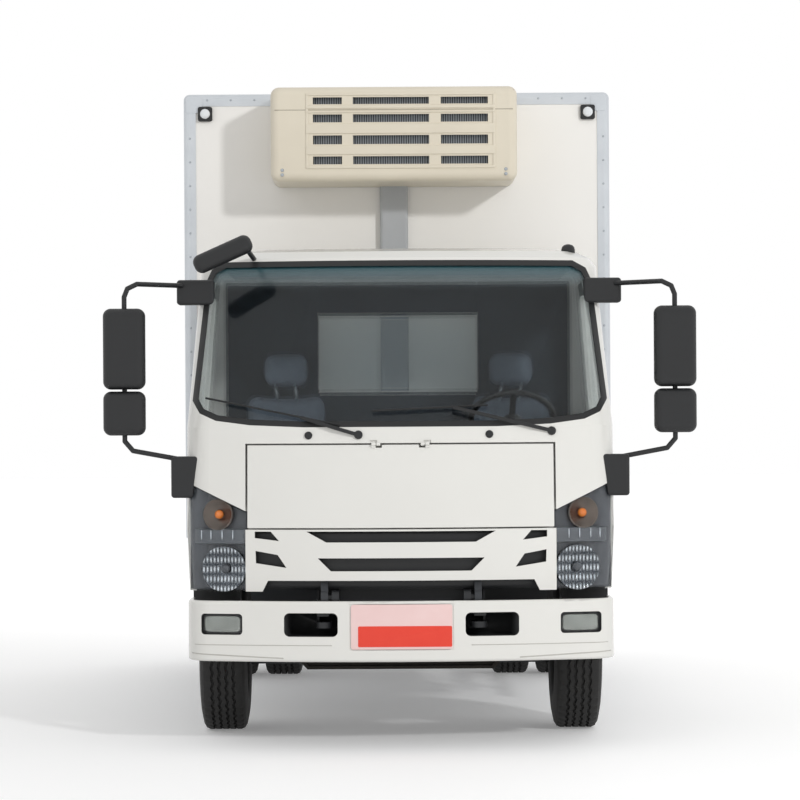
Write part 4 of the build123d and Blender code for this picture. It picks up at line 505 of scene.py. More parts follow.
def shell(points, thickness_mm, inward_mm=0.0):
    """Grid made a closed thin wall: the same grid again, moved back and inwards, with its edge joined."""
    rows, columns = points.shape[:2]
    back = points + np.array([inward_mm * MM, thickness_mm * MM, 0])
    faces = grid_faces(rows, columns)
    count = rows * columns
    first, last = np.arange(columns), (rows - 1) * columns + np.arange(columns - 2, -1, -1)
    right, left = np.arange(1, rows) * columns + columns - 1, np.arange(rows - 2, 0, -1) * columns
    edge = np.concatenate([first, right, last, left])
    after = np.roll(edge, -1)
    sides = np.stack([edge, edge + count, after + count, after], axis=1).tolist()
    faces = faces + [[i + count for i in face[::-1]] for face in faces] + sides
    return np.concatenate([points.reshape(-1, 3), back.reshape(-1, 3)]), faces


print("the bumper is", 2 * BUMPER[1], "mm wide")

# %% [markdown]
# A road tyre has a few zigzag grooves round it and short cuts across its shoulders. The tread is one grid,
# around by across: the columns beside each groove swing from side to side as they go round, and those at its
# bottom lie deeper, so the edges stay crisp without a fine grid.

# %% Tyres
TYRE_RADIUS = 425.0
ZIGZAGS, ZIGZAG_STEPS = 48, 4
AROUND = ZIGZAGS * ZIGZAG_STEPS
# Half of the profile, as distances from the tyre's middle and radii.
WALL = ((82.7, 203.3), (82.7, 223), (100, 238), (108.3, 247.6), (114, 268), (119, 301), (118.2, 318),
        (119, 322), (118.6, 330), (116.6, 349.6), (111, 378), (106, 400.6), (103, 404), (95.2, 417.5))
TREAD = ((90, 419.5), (78.5, 425), (60, 425), (57.5, 413), (48.5, 413), (46, 425), (25, 425), (22.5, 413),
         (13.5, 413), (11, 425))
SWING_MM, SWING_HALF = 4.0, 62.0
CUT_MM, SHOULDER_HALF, SHOULDER_RADIUS = 5.0, 70.0, 410.0


def tyre(centre_x, centre_depth):
    """Ring of a profile: groove columns swing by a triangle wave, and every fourth step cuts the shoulders."""
    right = np.array(WALL + TREAD, float)
    left = right[::-1] * (-1, 1)
    profile = np.concatenate([right, left])
    step = np.arange(AROUND)
    swing = SWING_MM * (np.abs((step % ZIGZAG_STEPS) - 2) - 1)
    from_middle = np.abs(profile[:, 0])
    across = profile[None, :, 0] + swing[:, None] * (from_middle < SWING_HALF)[None]
    shoulder = (from_middle > SHOULDER_HALF) & (profile[:, 1] > SHOULDER_RADIUS)
    radius = profile[None, :, 1] - CUT_MM * (shoulder[None] & (step[:, None] % ZIGZAG_STEPS == 0))
    angle = (2 * np.pi * step / AROUND)[:, None]
    depth, height = centre_depth + radius * np.sin(angle), TYRE_RADIUS + radius * np.cos(angle)
    points = place(centre_x + across, depth, height)
    return points.reshape(-1, 3), grid_faces(*across.shape, wrap_rows=True, wrap_columns=True)


FRONT_AXLE, REAR_AXLE = 1110.0, 4470.0
TYRE_PLACES = (
    ("tyre_front", "wheel_front", (882.5,), FRONT_AXLE),
    ("tyres_rear", "wheel_rear", (689.0, 961.0), REAR_AXLE),
)
for solid_name, body, centres, depth in TYRE_PLACES:
    for side, sign in SIDES:
        shape = joined([tyre(sign * x, depth) for x in centres])
        made = piece(f"tread_{solid_name}_{side}", shape, f"{body}_{side}", TYRE)
        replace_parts(sharpened(made, 30), f"{solid_name}_{side}")
print("each tyre has", AROUND, "steps round it")

# %% [markdown]
# Six nuts hold each wheel, with a washer below each, and a dished cap closes the hub.

# %% Wheel nuts and hub caps
NUTS, NUT_CIRCLE = 6, 111.0
NUT_PROFILE = ((19, 0), (19, 5), (15, 5.5), (15, 24), (11, 27), (9, 27), (9, 36), (6, 38))
CAP_PROFILE = ((58, 0), (56, 8), (44, 20), (24, 26), (8, 27))
# Each axle's wheel disc and hub end, from the truck's middle.
WHEELS = (("front", 960.5, 990.0, FRONT_AXLE), ("rear", 838.0, 949.5, REAR_AXLE))


def wheel_hardware(sign, face_x, hub_x, depth):
    """Nuts at equal angles on a circle and a cap at the hub's end, pointing outwards."""
    angle = (np.arange(NUTS) + 0.5) * 2 * np.pi / NUTS
    nut, cap = np.array(NUT_PROFILE) * (1, sign), np.array(CAP_PROFILE) * (1, sign)
    places = zip(depth + NUT_CIRCLE * np.cos(angle), TYRE_RADIUS + NUT_CIRCLE * np.sin(angle))
    shapes = [turned(nut, (sign * face_x, nut_depth, height), "x", 12) for nut_depth, height in places]
    return joined([*shapes, turned(cap, (sign * hub_x, depth, TYRE_RADIUS), "x", 24)])


for side, sign in SIDES:
    for end, face_x, hub_x, depth in WHEELS:
        shape = wheel_hardware(sign, face_x, hub_x, depth)
        made = piece(f"wheel_nuts_{end}_{side}", shape, f"wheel_{end}_{side}", GALVANISED)
        sharpened(made, 30)
print(NUTS, "nuts on each of", len(WHEELS) * len(SIDES), "wheels")

# %% [markdown]
# Each headlamp is a smoke-grey body behind a clear cover. It holds a round headlamp bowl below, a small bowl
# with an amber bulb above, and a bar with four bright pegs between them. All follow the cab's skin.

# %% Back of a headlamp
LAMP_INNER, LAMP_OUTER, LAMP_END = 748.0, 1020.0, 294.0
LAMP_LOW, LAMP_HEIGHT, LAMP_SLOPE = 754.0, 372.0, 0.482
LAMP_INSET, LAMP_RISE, LAMP_RISE_X = 50.0, 40.0, (950.0, 1010.0)


def lamp_back(sign):
    """Back of the lamp: a grid behind its outline that comes out to the skin at the corner, then runs back."""
    across, up = np.meshgrid(np.linspace(0, 1, 30), np.linspace(0, 1, 36))
    x = LAMP_INNER + (LAMP_OUTER - LAMP_INNER) * across
    z = LAMP_LOW + (LAMP_HEIGHT + (x - LAMP_INNER) * LAMP_SLOPE) * up
    front = on_cab(sign * x, z, LAMP_INSET - LAMP_RISE * np.interp(x, LAMP_RISE_X, (0, 1)))
    side = np.repeat(front[:, -1:], 5, axis=1)
    side[..., 1] += np.linspace(0.2, 1, 5) * (FRONT + LAMP_END * MM - side[..., 1])
    return shell(np.concatenate([front, side], axis=1), 4, -6 * sign)


print("a lamp is", LAMP_OUTER - LAMP_INNER, "mm wide")

# %% [markdown]
# A bowl is a polar patch on the skin whose inset grows towards its middle as a parabola does. Its rim stands
# on the body, its flutes fade inwards, and a cap or a bulb sits in its middle.

# %% Headlamps
# Each bowl's width, height, radius and depth.
LOW_BOWL, HIGH_BOWL = (852.0, 854.0, 100.0, 34), (880.0, 1114.0, 68.0, 30)
BOWL_SHARES = (1.08, 1.08, 1.0, 0.9, 0.75, 0.55, 0.35, 0.15)
RIM_FOOT, RIM_INSET, BOWL_INSET, BULB_INSET, CAP_INSET = 49.0, 14.0, 12.0, 40, 44
FLUTES, FLUTE_STEPS, FLUTE_MM, FLUTED_SHARE = 30, 4, 1.6, 0.95
BAR_Z, BAR_INSETS = (972.0, 1046.0), (24.0, 16.0, 16.0, 16.0, 24.0)
PEG_X, PEG_RADIUS, PEG_INSET = (806.0, 858.0, 912.0, 962.0), 4.0, 15
OUTWARDS = (0, 1, 0)
BULB_PROFILE = ((16, 6), (22, -6), (20, -18), (12, -26), (4, -29))
LAMP_CAP_PROFILE = ((14, 4), (22, -4), (22, -14), (15, -20), (5, -22))


def bowl(sign, x0, z0, radius, depth):
    """Bowl: rings from rim to middle, with an inset that grows as a parabola and is waved into flutes."""
    share = np.array(BOWL_SHARES)[:, None]
    angle = np.linspace(0, 2 * np.pi, FLUTES * FLUTE_STEPS, endpoint=False)[None]
    flutes = FLUTE_MM * np.cos(FLUTES * angle) * share**2
    dished = BOWL_INSET + depth * (1 - share**2) + flutes * (share < FLUTED_SHARE)
    inset = np.where(share > 1, RIM_INSET, dished)
    inset[0] = RIM_FOOT
    x, z = x0 + share * radius * np.cos(angle), z0 + share * radius * np.sin(angle)
    return rings(on_cab(sign * x, z, inset))


def lamp_bar(sign):
    """Bar between the bowls: a grid along the skin, set back at its upper and lower edge."""
    x = np.linspace(LAMP_INNER, LAMP_OUTER, 40)
    z = np.array([BAR_Z[0], BAR_Z[0] + 4, np.mean(BAR_Z), BAR_Z[1] - 4, BAR_Z[1]])
    return shell(on_cab(sign * x[None], z[:, None], np.array(BAR_INSETS)[:, None]), 30)


def lamp_pegs(sign):
    """Upright round pegs standing on the bar."""
    height = np.linspace(BAR_Z[0] + 22, BAR_Z[1] - 6, 4)
    profile = circle(PEG_RADIUS * MM, 8)
    return joined([bar(on_cab(sign * x, height, PEG_INSET), profile, OUTWARDS) for x in PEG_X])


for side, sign in SIDES:
    back = piece(f"headlamp_body_{side}", lamp_back(sign), "cab", SMOKE)
    if side == "left":
        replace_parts(back, "headlamp_housings")
    low, high = bowl(sign, *LOW_BOWL), bowl(sign, *HIGH_BOWL)
    sharpened(piece(f"headlamp_bowl_{side}", low, "cab", FLUTED), 50)
    sharpened(piece(f"indicator_bowl_{side}", high, "cab", SMOKED_REFLECTOR), 50)
    sharpened(piece(f"headlamp_bar_{side}", lamp_bar(sign), "cab", LAMP_BAR))
    piece(f"headlamp_pegs_{side}", lamp_pegs(sign), "cab", REFLECTOR)
    bulb = turned(BULB_PROFILE, cab_spot(sign * HIGH_BOWL[0], HIGH_BOWL[1], BULB_INSET), "y", 24)
    piece(f"indicator_bulb_{side}", bulb, "cab", AMBER_LENS)
    cap = turned(LAMP_CAP_PROFILE, cab_spot(sign * LOW_BOWL[0], LOW_BOWL[1], CAP_INSET), "y", 24)
    piece(f"headlamp_cap_{side}", cap, "cab", SMOKE)
print("lamp bowls", LOW_BOWL[2] * 2, "and", HIGH_BOWL[2] * 2, "mm across")

# %% [markdown]
# Behind the open grille lies a dark net, and below it the radiator stands between the rails. Its core is a
# plain block with level bars: only its dark front is seen, through the slots and the gap above the bumper.

# %% Grille net and radiator
NET_HALF, NET_Z, NET_INSET = 738.0, (756.0, 1040.0), 46.0
CORE, CORE_BARS_Z = ((-285, 222, 505), (285, 262, 735)), range(520, 725, 22)
across, up = np.meshgrid(np.linspace(-NET_HALF, NET_HALF, 61), np.linspace(*NET_Z, 12))
piece("grille_net", shell(on_cab(across, up, NET_INSET), 3), "cab", BLACK_PP)
core = [block(*CORE, 12, 4)]
core += [block((-270, 216, z), (270, 224, z + 7), 2, 1) for z in CORE_BARS_Z]
piece("radiator", joined(core), "chassis", CHASSIS)
print("net reaches", 2 * NET_HALF, "mm across")

# %% [markdown]
# Two wipers rest on the windscreen. A blade lies on the glass and its arm stands off it, so both are bars
# whose paths are found on the cab's skin, moved outwards by their own heights.

# %% Wipers and washer nozzles
# Each wiper's pivot, the arm's far end, and the blade's two ends, as widths and heights.
WIPERS = (
    ("right", (-200, 1492), (-470, 1576), (-930, 1672), (-292, 1540)),
    ("left", (724, 1506), (250, 1620), (-132, 1606), (416, 1630)),
)
ARM_LIFTS, SPINE_LIFTS, LIP_LIFTS = (14, 24, 28, 28, 26, 22), (12,) * 9, (3,) * 9
ARM_HALVES, SPINE_HALVES, LIP_SIZE = (9 * MM, 5 * MM), (5 * MM, 6 * MM), (3 * MM, 12 * MM, 1 * MM)
PIVOT_PROFILE = ((21, 6), (21, -10), (16, -18), (6, -22))
NOZZLE_PROFILE = ((19, 6), (19, -5), (15, -12), (6, -15))
NOZZLES = (("right", (-438, 1490)), ("left", (424, 1492)))


def on_glass(start, end, lifts):
    """Path between two places on the cab's skin, lifted off it by a height at each step."""
    share = np.linspace(0, 1, len(lifts))
    x, z = (first + (last - first) * share for first, last in zip(start, end))
    return on_cab(x, z, -np.asarray(lifts, float))


for side, pivot, joint, low, high in WIPERS:
    arm = bar(on_glass(pivot, joint, ARM_LIFTS), circle(1.0, 10) * ARM_HALVES, OUTWARDS)
    spine = bar(on_glass(low, high, SPINE_LIFTS), circle(1.0, 8) * SPINE_HALVES, OUTWARDS)
    lip = bar(on_glass(low, high, LIP_LIFTS), round_rectangle(*LIP_SIZE, 2), OUTWARDS)
    cap = turned(PIVOT_PROFILE, cab_spot(*pivot), "y", 20)
    sharpened(piece(f"wiper_{side}", joined([arm, spine, lip, cap]), "cab", BLACK_PP))
for side, spot in NOZZLES:
    nozzle = turned(NOZZLE_PROFILE, cab_spot(*spot), "y", 20)
    piece(f"washer_{side}", nozzle, "cab", BLACK_PP)
print("wiper blade", round(math.dist(*WIPERS[0][3:])), "mm long")

# %% [markdown]
# The bumper carries a blank number plate in a shallow pocket and a fog lamp in each end. The lamps follow the
# bumper's bow, so their faces are grids moved in from it.

# %% Number plate and fog lamps
PLATE_PALE = finish("pale_plate_enamel", "EBC9C6", "F0D3D0", (0.3, 0.4), 80, 2, 0.02)
PLATE_RED = finish("red_plate_enamel", "E23A28", "EA4632", (0.3, 0.4), 80, 2, 0.02)
PLATE_BACK, PLATE_FACE = ((-240, 4, 478), (240, 10, 690)), ((-206, 2, 490), (238, 5, 588))
piece("plate_back", block(*PLATE_BACK, 12, 1.5), "chassis", PLATE_PALE)
piece("plate_face", block(*PLATE_FACE, 6, 0.8), "chassis", PLATE_RED)
FOG_X, FOG_Z = (760.0, 950.0), (549.0, 641.0)
PILLOW_X, PILLOW_Z, PILLOW_POWER = 0.14, 0.3, 8


def fog_patches(inset, margin, thickness):
    """Faces of both fog lamps: grids of the opening less a margin, their corners drawn in as on a pillow."""
    s, t = np.meshgrid(np.linspace(-1, 1, 25), np.linspace(-1, 1, 17))
    half_x, half_z = np.ptp(FOG_X) / 2 - margin, np.ptp(FOG_Z) / 2 - margin
    x = np.mean(FOG_X) + half_x * s * np.sqrt(1 - PILLOW_X * t**PILLOW_POWER)
    z = np.mean(FOG_Z) + half_z * t * np.sqrt(1 - PILLOW_Z * s**PILLOW_POWER)
    return joined([shell(on_bumper(sign * x, z, inset), thickness) for sign in SIGNS])


frames = sharpened(piece("fog_frames", fog_patches(14, 0, 14), "chassis", BLACK_PP))
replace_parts(frames, "clear_lamps")
piece("fog_reflectors", fog_patches(11, 8, 2), "chassis", FOG_REFLECTOR)
piece("fog_lenses", fog_patches(5, 5, 3), "chassis", LENS)
print("fog lamps", np.ptp(FOG_X), "mm wide")

# %% [markdown]
# The bumper's openings are square in the solid model, so small fillers round their corners.

# %% Rounded openings
TOW_X, TOW_Z = (302.0, 557.0), (538.0, 650.0)
FOG_RIM, TOW_ROUND, FOG_ROUND = np.array((-4, 4)), (26.0, 22), (18.0, 4)
FILLER_INSET = 0.3


def opening_corners(sign, span_x, span_z, radius, thickness):
    """Fillers of an opening's corners: a grid from a quarter circle out to the square that holds it."""
    angle = np.linspace(0, np.pi / 2, 9)
    arc = np.stack([np.cos(angle), np.sin(angle)])
    square = arc / arc.max(axis=0) * (1 + 1 / radius)
    across, up = arc[:, None] + np.linspace(0, 1, 4)[:, None] * (square - arc)[:, None]
    shapes = []
    for side_x, corner_x in zip((-1, 1), span_x):
        for side_z, corner_z in zip((-1, 1), span_z):
            x = corner_x + side_x * radius * (across - 1)
            z = corner_z + side_z * radius * (up - 1)
            shapes.append(shell(on_bumper(sign * x, z, FILLER_INSET), thickness))
    return shapes


corners = []
for sign in SIGNS:
    corners += opening_corners(sign, TOW_X, TOW_Z, *TOW_ROUND)
    corners += opening_corners(sign, FOG_X + FOG_RIM, FOG_Z + FOG_RIM, *FOG_ROUND)
sharpened(piece("opening_corners", joined(corners), "chassis", ENAMEL))
print(len(corners), "rounded corners on the bumper")

# %% [markdown]
# Two creases run along the bumper: a straight one below the openings and one that sinks towards the middle.
# Each is a thin bar of darker enamel, painted shade of the crease.
# Each tow opening leads into a black cup, its outline carried back along the bumper's normal and closed, and
# a black sleeve covers the steel bracket there.

# %% Bumper creases, sleeves and liners
GROOVE_X, GROOVE_Z, GROOVE_RADIUS = (330, 985), 497, 2.2
CREASE_X, CREASE_Z, CREASE_RUN, CREASE_RADIUS = (560, 1000), 436, 24, 3
CREASE_INSET = 0.5
groove_x, crease_x = np.linspace(*GROOVE_X, 30), np.linspace(*CREASE_X, 20)
creases = (
    (groove_x, GROOVE_Z, GROOVE_RADIUS),
    (crease_x, CREASE_Z + (crease_x - CREASE_X[0]) / CREASE_RUN, CREASE_RADIUS),
)
# Thin bars in darker enamel along the creases are painted shade.
crease_shade_bars = [bar(on_bumper(sign * x, z, CREASE_INSET), circle(radius * MM, 8))
           for x, z, radius in creases for sign in SIGNS]
piece("bumper_crease_shade_bars", joined(crease_shade_bars), "chassis", ENAMEL_SHADE)

SLEEVE = ((344, 46, 633), (401, 206, 669), 4, 1)
sharpened(piece("bracket_sleeves", pair(*SLEEVE), "chassis", BLACK_PP))

# Each ring's share of the opening, and its inset.
LINER_RINGS, LINER_CORNER = ((1.02, 190.0), (1.02, 25.0), (1.06, 25.0), (1.06, 194.0)), 12
tow_across, tow_up = round_rectangle(np.ptp(TOW_X), np.ptp(TOW_Z), LINER_CORNER).T
liners = []
for sign in SIGNS:
    rows = [on_bumper(sign * (np.mean(TOW_X) + tow_across * share), np.mean(TOW_Z) + tow_up * share, inset)
            for share, inset in LINER_RINGS]
    liners.append(rings(np.stack(rows)))
piece("bumper_liners", joined(liners), "chassis", BLACK_PP)
print("creases", np.ptp(GROOVE_X), "and", np.ptp(CREASE_X), "mm long on each side")

# %% [markdown]
# The mirrors have glass on their backs, seen from the seats, and a black dome sits on the roof's edge.

# %% Mirror glass and roof dome
MIRRORS = (((1238, 326, 1735), (1410, 334, 2086), 24, 2), ((1238, 326, 1512), (1410, 334, 1690), 24, 2))
DOME_PROFILE, DOME_AT = ((34, -6), (34, 10), (30, 24), (20, 33), (8, 37)), (838, 700, 2386)
glasses = [side_block(sign, *form) for sign in SIGNS for form in MIRRORS]
piece("mirror_glass", joined(glasses), "cab", MIRROR)
piece("roof_dome", turned(DOME_PROFILE, DOME_AT, "z", 24), "cab", BLACK_PP)
print(len(glasses), "mirror glasses")

# %% [markdown]
# On the box stand two marker lamps with round lenses, rivets hold its edge rails, and caps cover its corners.

# %% Box details
BOX_FRONT, BOX_REAR, BOX_TOP, BOX_HALF = 1790.0, 5950.0, 3285.0, 1125.0
MARKER = np.array(((972, -20, 3140), (1048, 4, 3216))) + (0, BOX_FRONT, 0)
MARKER_LENS, LENS_AT = ((26, 2), (26, -8), (20, -13), (8, -15)), (1010, BOX_FRONT - 20, 3178)
RIVET, RIVET_PITCH, RIVET_INSET = ((6, 0.5), (6, -1), (4.5, -2.6), (2, -3.2)), 125, 33
RIVETS_X, RIVETS_Z = range(-1000, 1001, RIVET_PITCH), range(1050, 3150, RIVET_PITCH)
CORNER_CAP = np.array(((-100, -3, -100), (-14, 2, -14))) + (BOX_HALF, BOX_FRONT, BOX_TOP)

piece("marker_backs", pair(*MARKER, 10, 3), "chassis", BLACK_PP)
lenses = joined([turned(MARKER_LENS, np.multiply(LENS_AT, (sign, 1, 1)), "y", 24) for sign in SIGNS])
piece("marker_lenses", lenses, "chassis", LENS_WHITE)
spots = [(sign * (BOX_HALF - RIVET_INSET), z) for sign in SIGNS for z in RIVETS_Z]
spots += [(x, BOX_TOP - RIVET_INSET) for x in RIVETS_X]
rivets = joined([turned(RIVET, (x, BOX_FRONT, z), "y", 8) for x, z in spots])
piece("front_rivets", rivets, "chassis", GALVANISED)
piece("corner_caps", pair(*CORNER_CAP, 14, 1), "chassis", ALUMINIUM)
print(len(spots), "rivets")

# %% [markdown]
# The refrigeration unit is two mouldings that meet at a line near the top, drawn as a strip of darker cream
# that is painted shade in the gap. Screws hold its lower corners and a shallow raised frame runs round the
# field of slots.

# %% Refrigeration unit details
CREAM_SHADE = finish("cream_shadow_line", "9B9384", "A79F90", (0.5, 0.6), 120, 3, 0.05)
UNIT_FRONT, SEAM_X, SEAM_Z = 1340.0, (-629, 597), (3153, 3157)
RIB_X, POSTS_X, POST_Z = (-470, 506), ((-470, -456), (492, 506)), (2858, 3236)
RIB_ROWS = ((3139, 3149), (3161, 3178), (3032, 3083), (2924, 2970), (2852, 2867), (3228, 3240))
SCREW, SCREWS_X, SCREWS_Z = ((9, 1), (9, -2), (6, -4), (2, -4.5)), (-591, 559), (2822, 2846)


def on_unit(across, up, stand, sunk, *form):
    """Block on the unit's face between two widths and two heights, that stands out and is sunk in."""
    return block(*zip(across, (UNIT_FRONT - stand, UNIT_FRONT + sunk), up), *form)


# The seam's darker cream is painted shade in the gap between the mouldings.
seam_shade_line = on_unit(SEAM_X, SEAM_Z, 0.8, 2, 1.6, 0.5)
piece("unit_seam_shade_line", seam_shade_line, "chassis", CREAM_SHADE)
ribs = [on_unit(RIB_X, limits, 7, 3, 5, 4) for limits in RIB_ROWS]
ribs += [on_unit(limits, POST_Z, 5, 3, 6, 4) for limits in POSTS_X]
piece("unit_ribs", joined(ribs), "chassis", CREAM)
screws = [turned(SCREW, (x, UNIT_FRONT, z), "y", 12) for x in SCREWS_X for z in SCREWS_Z]
piece("unit_screws", joined(screws), "chassis", GALVANISED)
print(len(ribs), "ribs and", len(screws), "screws on the unit")

# %% [markdown]
# Each cab door has a pull handle in a black cup. The box doors are locked by bars, each with a lever and a
# keeper that holds it.

# %% Door handles and locks
CUP = ((1026, 1205, 1400), (1034, 1345, 1462), 20, 2, "x")
GRIP = ((1031, 1215, 1432), (1046, 1335, 1454), 9, 4, "x")
# Lock bars, and each lever and keeper as it lies from its bar.
LOCKS = np.array(((330, BOX_REAR, 0), (760, BOX_REAR, 0)))
LEVER, KEEPER = ((-14, 30, 1390), (210, 41, 1424)), ((150, -1, 1376), (180, 34, 1438))
for side, sign in SIDES:
    handle = joined([side_block(sign, *form) for form in (CUP, GRIP)])
    piece(f"cab_handle_{side}", handle, f"cab_door_{side}", BLACK_PP)
    levers = [side_block(sign, *(spot + form), *edges)
              for spot in LOCKS for form, edges in ((LEVER, (10, 3)), (KEEPER, (6, 2)))]
    piece(f"lock_levers_{side}", joined(levers), f"rear_door_{side}", GALVANISED)
print(len(LOCKS), "locks on each rear door")

# %% [markdown]
# Rubber flaps hang behind the rear wheels, amber lamps mark the side guards and a cap closes the fuel tank.

# %% Flaps, side lamps and fuel cap
FLAP = ((565, 4900, 235), (1085, 4907, 640), 12, 2)
SIDE_LAMPS, SIDE_LAMP_LONG = (2120, 2880, 3640), 70
FUEL_CAP, FUEL_CAP_AT = ((46, 2), (46, -14), (38, -24), (10, -27)), (-980, 2220, 690)
lamps = [side_block(sign, (1083, depth, 652), (1093, depth + SIDE_LAMP_LONG, 688), 8, 3, "x")
         for sign in SIGNS for depth in SIDE_LAMPS]
piece("mud_flaps", pair(*FLAP), "chassis", SEAL)
piece("side_lamps", joined(lamps), "chassis", AMBER_LENS)
piece("fuel_cap", turned(FUEL_CAP, FUEL_CAP_AT, "x", 28), "chassis", BLACK_PP)
print(len(lamps), "side lamps")

# %% [markdown]
# Each seat pad starts as a slightly small moulded block. It is cut into an even mesh, and a cloth simulation
# blows it up from inside for twenty frames with no gravity. No point may move farther than a cap, the result is
# kept as plain points, and one subdivision smooths it. The right seat is the left one's mirror image.

# %% Padded seats
SEAT_CLOTH = finish("woven_seat_cloth", "59616C", "6B7480", (0.78, 0.92), 45, 1.4, 0.5)
LEAN, LEAN_FROM = 90 / 595, 1335
CUSHION = ((362, 910, 1222), (798, 1318, 1304), 60, 26, "z")
RESTS = (((362, 1352, 1336), (798, 1432, 1690), 60, 24), ((470, 1356, 1735), (690, 1428, 1900), 48, 24))
VOXEL_MM, CAP_MM, PRESSURE, FRAMES = 9.0, 22.0, 4.0, 20


def leaned(shape):
    """Shape with every point moved back in proportion to its height above a level."""
    points, faces = shape
    lean = np.zeros_like(points)
    lean[:, 1] = (points[:, 2] - LEAN_FROM * MM) * LEAN
    return points + lean, faces


def puffed(made):
    """Remeshes a pad evenly, blows it up as cloth, and keeps each point within the cap of where it began."""
    remesh = made.modifiers.new("remesh", "REMESH")
    remesh.mode = "VOXEL"
    remesh.voxel_size = VOXEL_MM * MM
    depsgraph = bpy.context.evaluated_depsgraph_get()
    made.data = bpy.data.meshes.new_from_object(made.evaluated_get(depsgraph))
    made.modifiers.clear()
    count = len(made.data.vertices)
    start, moved = np.zeros(count * 3), np.zeros(count * 3)
    made.data.vertices.foreach_get("co", start)
    cloth = made.modifiers.new("cloth", "CLOTH")
    cloth.settings.use_pressure = True
    cloth.settings.uniform_pressure_force = PRESSURE
    cloth.settings.effector_weights.gravity = 0
    for moment in range(1, FRAMES + 1):
        bpy.context.scene.frame_set(moment)
    made.evaluated_get(bpy.context.evaluated_depsgraph_get()).data.vertices.foreach_get("co", moved)
    step = (moved - start).reshape(-1, 3)
    reach = np.linalg.norm(step, axis=1, keepdims=True)
    step *= np.minimum(1, CAP_MM * MM / np.maximum(reach, 1e-9))
    made.modifiers.clear()
    bpy.context.scene.frame_set(1)
    made.data.vertices.foreach_set("co", (start.reshape(-1, 3) + step).ravel())
    made.data.update()
    return float(reach.max()) / MM


seat_shape = joined([block(*CUSHION), *(leaned(block(*form)) for form in RESTS)])
seat_left = piece("seat_pads_left", seat_shape, "cab", SEAT_CLOTH)
farthest = puffed(seat_left)
pad = seat_left.data
seat_points = np.zeros(len(pad.vertices) * 3)
pad.vertices.foreach_get("co", seat_points)
pad.polygons.foreach_set("use_smooth", np.ones(len(pad.polygons), bool))
mirrored = seat_points.reshape(-1, 3) * (-1, 1, 1), [list(face.vertices)[::-1] for face in pad.polygons]
seat_right = piece("seat_pads_right", mirrored, "cab", SEAT_CLOTH)
for seat in (seat_left, seat_right):
    smooth = seat.modifiers.new("smooth", "SUBSURF")
    smooth.levels = smooth.render_levels = 1
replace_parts(seat_left, "seats")
print("cloth moved at most", round(farthest), "mm before the cap")

# %% [markdown]
# Charcoal felt lines the cab's back wall round its window and the roof, so the window stands out bright.

# %% Cab lining
LINING = finish("charcoal_trim_felt", "33383E", "40464D", (0.8, 0.9), 80, 2, 0.3)
LINING_DEPTH, HEADLINING = (1637.0, 1643.0), ((-850, 650, 2296), (850, 1630, 2304))
# Panels round the rear window, by width and height.
PANELS = (((-900, -415), (1010, 2280)), ((415, 900), (1010, 2280)),
          ((-415, 415), (2104, 2280)), ((-415, 415), (1010, 1704)))
felt = [block(*zip(across, LINING_DEPTH, up), 8, 1.5) for across, up in PANELS]
felt.append(block(*HEADLINING, 60, 2, "z"))
sharpened(piece("cab_lining", joined(felt), "cab", LINING))
print("lining of", len(felt), "panels")

# %% [markdown]
# Each seat stands on a black plinth, with two steel stalks to its head rest. A hood shades the dials.

# %% Seat plinths, stalks and dial hood
PLINTH = ((350, 905, 1205), (810, 1440, 1232), 40, 5, "z")
HOOD = ((400, 470, 1474), (720, 640, 1532), 26, 10)
STALKS_X, STALK_DEPTHS, STALK_Z, STALK_RADIUS = (530, 630), (1440, 1452), (1660, 1750), 6
for side, sign in SIDES:
    piece(f"seat_plinth_{side}", side_block(sign, *PLINTH), "cab", BLACK_PP)
    paths = [place(sign * x, STALK_DEPTHS, STALK_Z) for x in STALKS_X]
    stalks = [bar(path, circle(STALK_RADIUS * MM, 10), (1, 0, 0)) for path in paths]
    piece(f"head_rest_stalks_{side}", joined(stalks), "cab", GALVANISED)
piece("dial_hood", block(*HOOD), "cab", DASH)
print("hood", HOOD[1][0] - HOOD[0][0], "mm wide")

# %% [markdown]
# The photograph was taken from straight ahead and far away, so a long lens stands fifteen metres in front,
# at the height of a person's eyes, held a little askew.

# %% Camera
CAMERA_MM, LENS_MM = (-100, -15000, 1600), 143.0
CAMERA_ROLL, CAMERA_SHIFT, CAMERA_REACH_M = 0.006, (0.026, 0.015), 200
camera = placed("camera", bpy.data.cameras.new("camera"))
camera.location = place(*CAMERA_MM)
camera.rotation_euler = (math.pi / 2, CAMERA_ROLL, 0)
camera.data.lens = LENS_MM
camera.data.shift_x, camera.data.shift_y = CAMERA_SHIFT
camera.data.clip_end = CAMERA_REACH_M
bpy.context.scene.camera = camera
print("lens", LENS_MM, "mm")

# %% [markdown]
# The floor is pale and glows a little more with distance, so that it fades into the white behind. That glow is
# only seen and lights nothing, because it depends on the kind of ray.

# %% Floor
FLOOR_HALF_MM, FADE_M, GLOW = 60000, (5.0, 20.0), (0.2, 0.46)
floor_corners = np.array([(-1, -1, 0), (1, -1, 0), (1, 1, 0), (-1, 1, 0)]) * FLOOR_HALF_MM * MM
floor_mesh = bpy.data.meshes.new("floor")
floor_mesh.from_pydata(floor_corners.tolist(), [], [[0, 1, 2, 3]])
floor = placed("floor", floor_mesh)


def in_view(tree):
    """One for a ray from the camera, through glass or off a shine, and nought for one that only lights."""
    ray = node(tree, "LightPath").outputs
    seen = ray["Is Camera Ray"]
    for kind in ("Is Transmission Ray", "Is Glossy Ray"):
        seen = node(tree, "Math", {0: seen, 1: ray[kind]}, operation="MAXIMUM").outputs[0]
    return seen


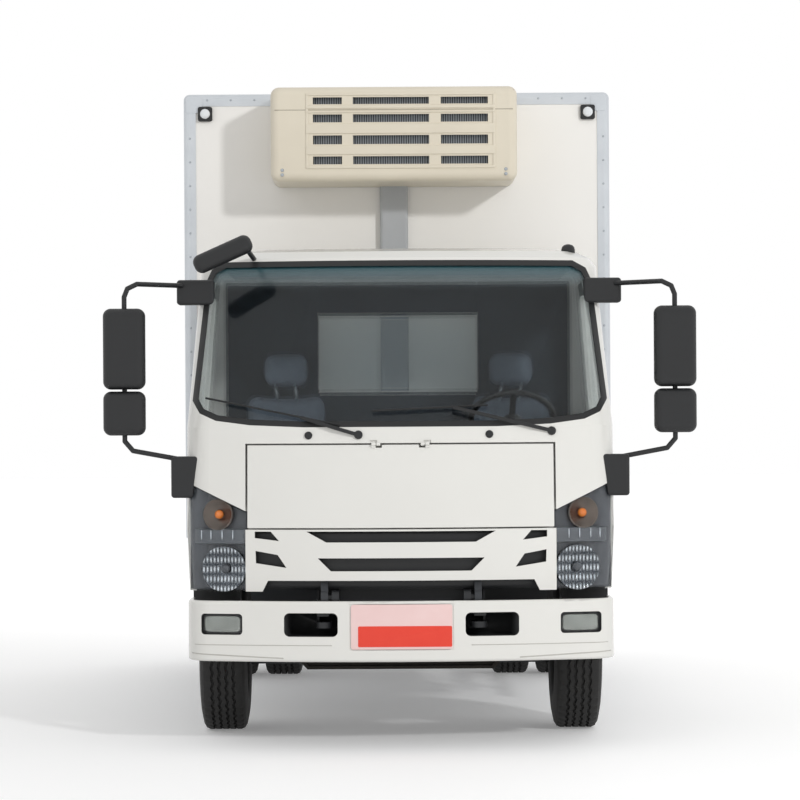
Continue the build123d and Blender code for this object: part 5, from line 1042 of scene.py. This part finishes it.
PALE = finish("pale_studio_floor", "F2F2F2", "F6F6F6", (0.8, 0.9), 2000, 60, 0.0, Emission_Color=(1, 1, 1, 1))
pale_tree = PALE.node_tree
spot_from = node(pale_tree, "TexCoord").outputs["Object"]
away = node(pale_tree, "VectorMath", {0: spot_from}, operation="LENGTH").outputs["Value"]
fade = {"Value": away, "From Min": FADE_M[0], "From Max": FADE_M[1], "To Min": GLOW[0], "To Max": GLOW[1]}
glow = node(pale_tree, "MapRange", fade).outputs["Result"]
shown = node(pale_tree, "Math", {0: glow, 1: in_view(pale_tree)}, operation="MULTIPLY")
feed(pale_tree, "Emission Strength", shown.outputs[0])
floor_mesh.materials.append(PALE)
print("floor fades between", *FADE_M, "metres")

# %% [markdown]
# The white sky lights the truck with less than is seen of it. A small strong lamp stands for the low sun, and
# two large soft ones fill the shadows.

# %% Sky and lamps
SKY_LIGHT, LAMPS_AIM = 0.62, (0, 2500, 1500)
# Each lamp's place and size in millimetres, and its power in watts.
LAMPS = (
    ("key", (8300, -12500, 7800), 1100, 1000),
    ("fill", (-8000, -9000, 6000), 8000, 90),
    ("rear", (3000, 14000, 8000), 8000, 500),
)
world = bpy.data.worlds.new("studio")
bpy.context.scene.world = world
world.use_nodes = True
sky = world.node_tree
strength = node(sky, "MapRange", {"Value": in_view(sky), "To Min": SKY_LIGHT, "To Max": 1.0})
background = sky.nodes["Background"]
background.inputs["Color"].default_value = (1, 1, 1, 1)
sky.links.new(strength.outputs["Result"], background.inputs["Strength"])

for name, spot, size, power in LAMPS:
    data = bpy.data.lights.new(name, "AREA")
    data.size = size * MM
    data.energy = power
    lamp = placed(name, data)
    lamp.visible_glossy = False
    lamp.location = place(*spot)
    aim = np.array(lamp.location) - place(*LAMPS_AIM)
    tilt, turn = math.acos(aim[2] / np.linalg.norm(aim)), math.atan2(aim[1], aim[0]) + math.pi / 2
    lamp.rotation_euler = (tilt, 0, turn)
bpy.context.scene.view_settings.view_transform = "Standard"
print(len(LAMPS), "lamps")
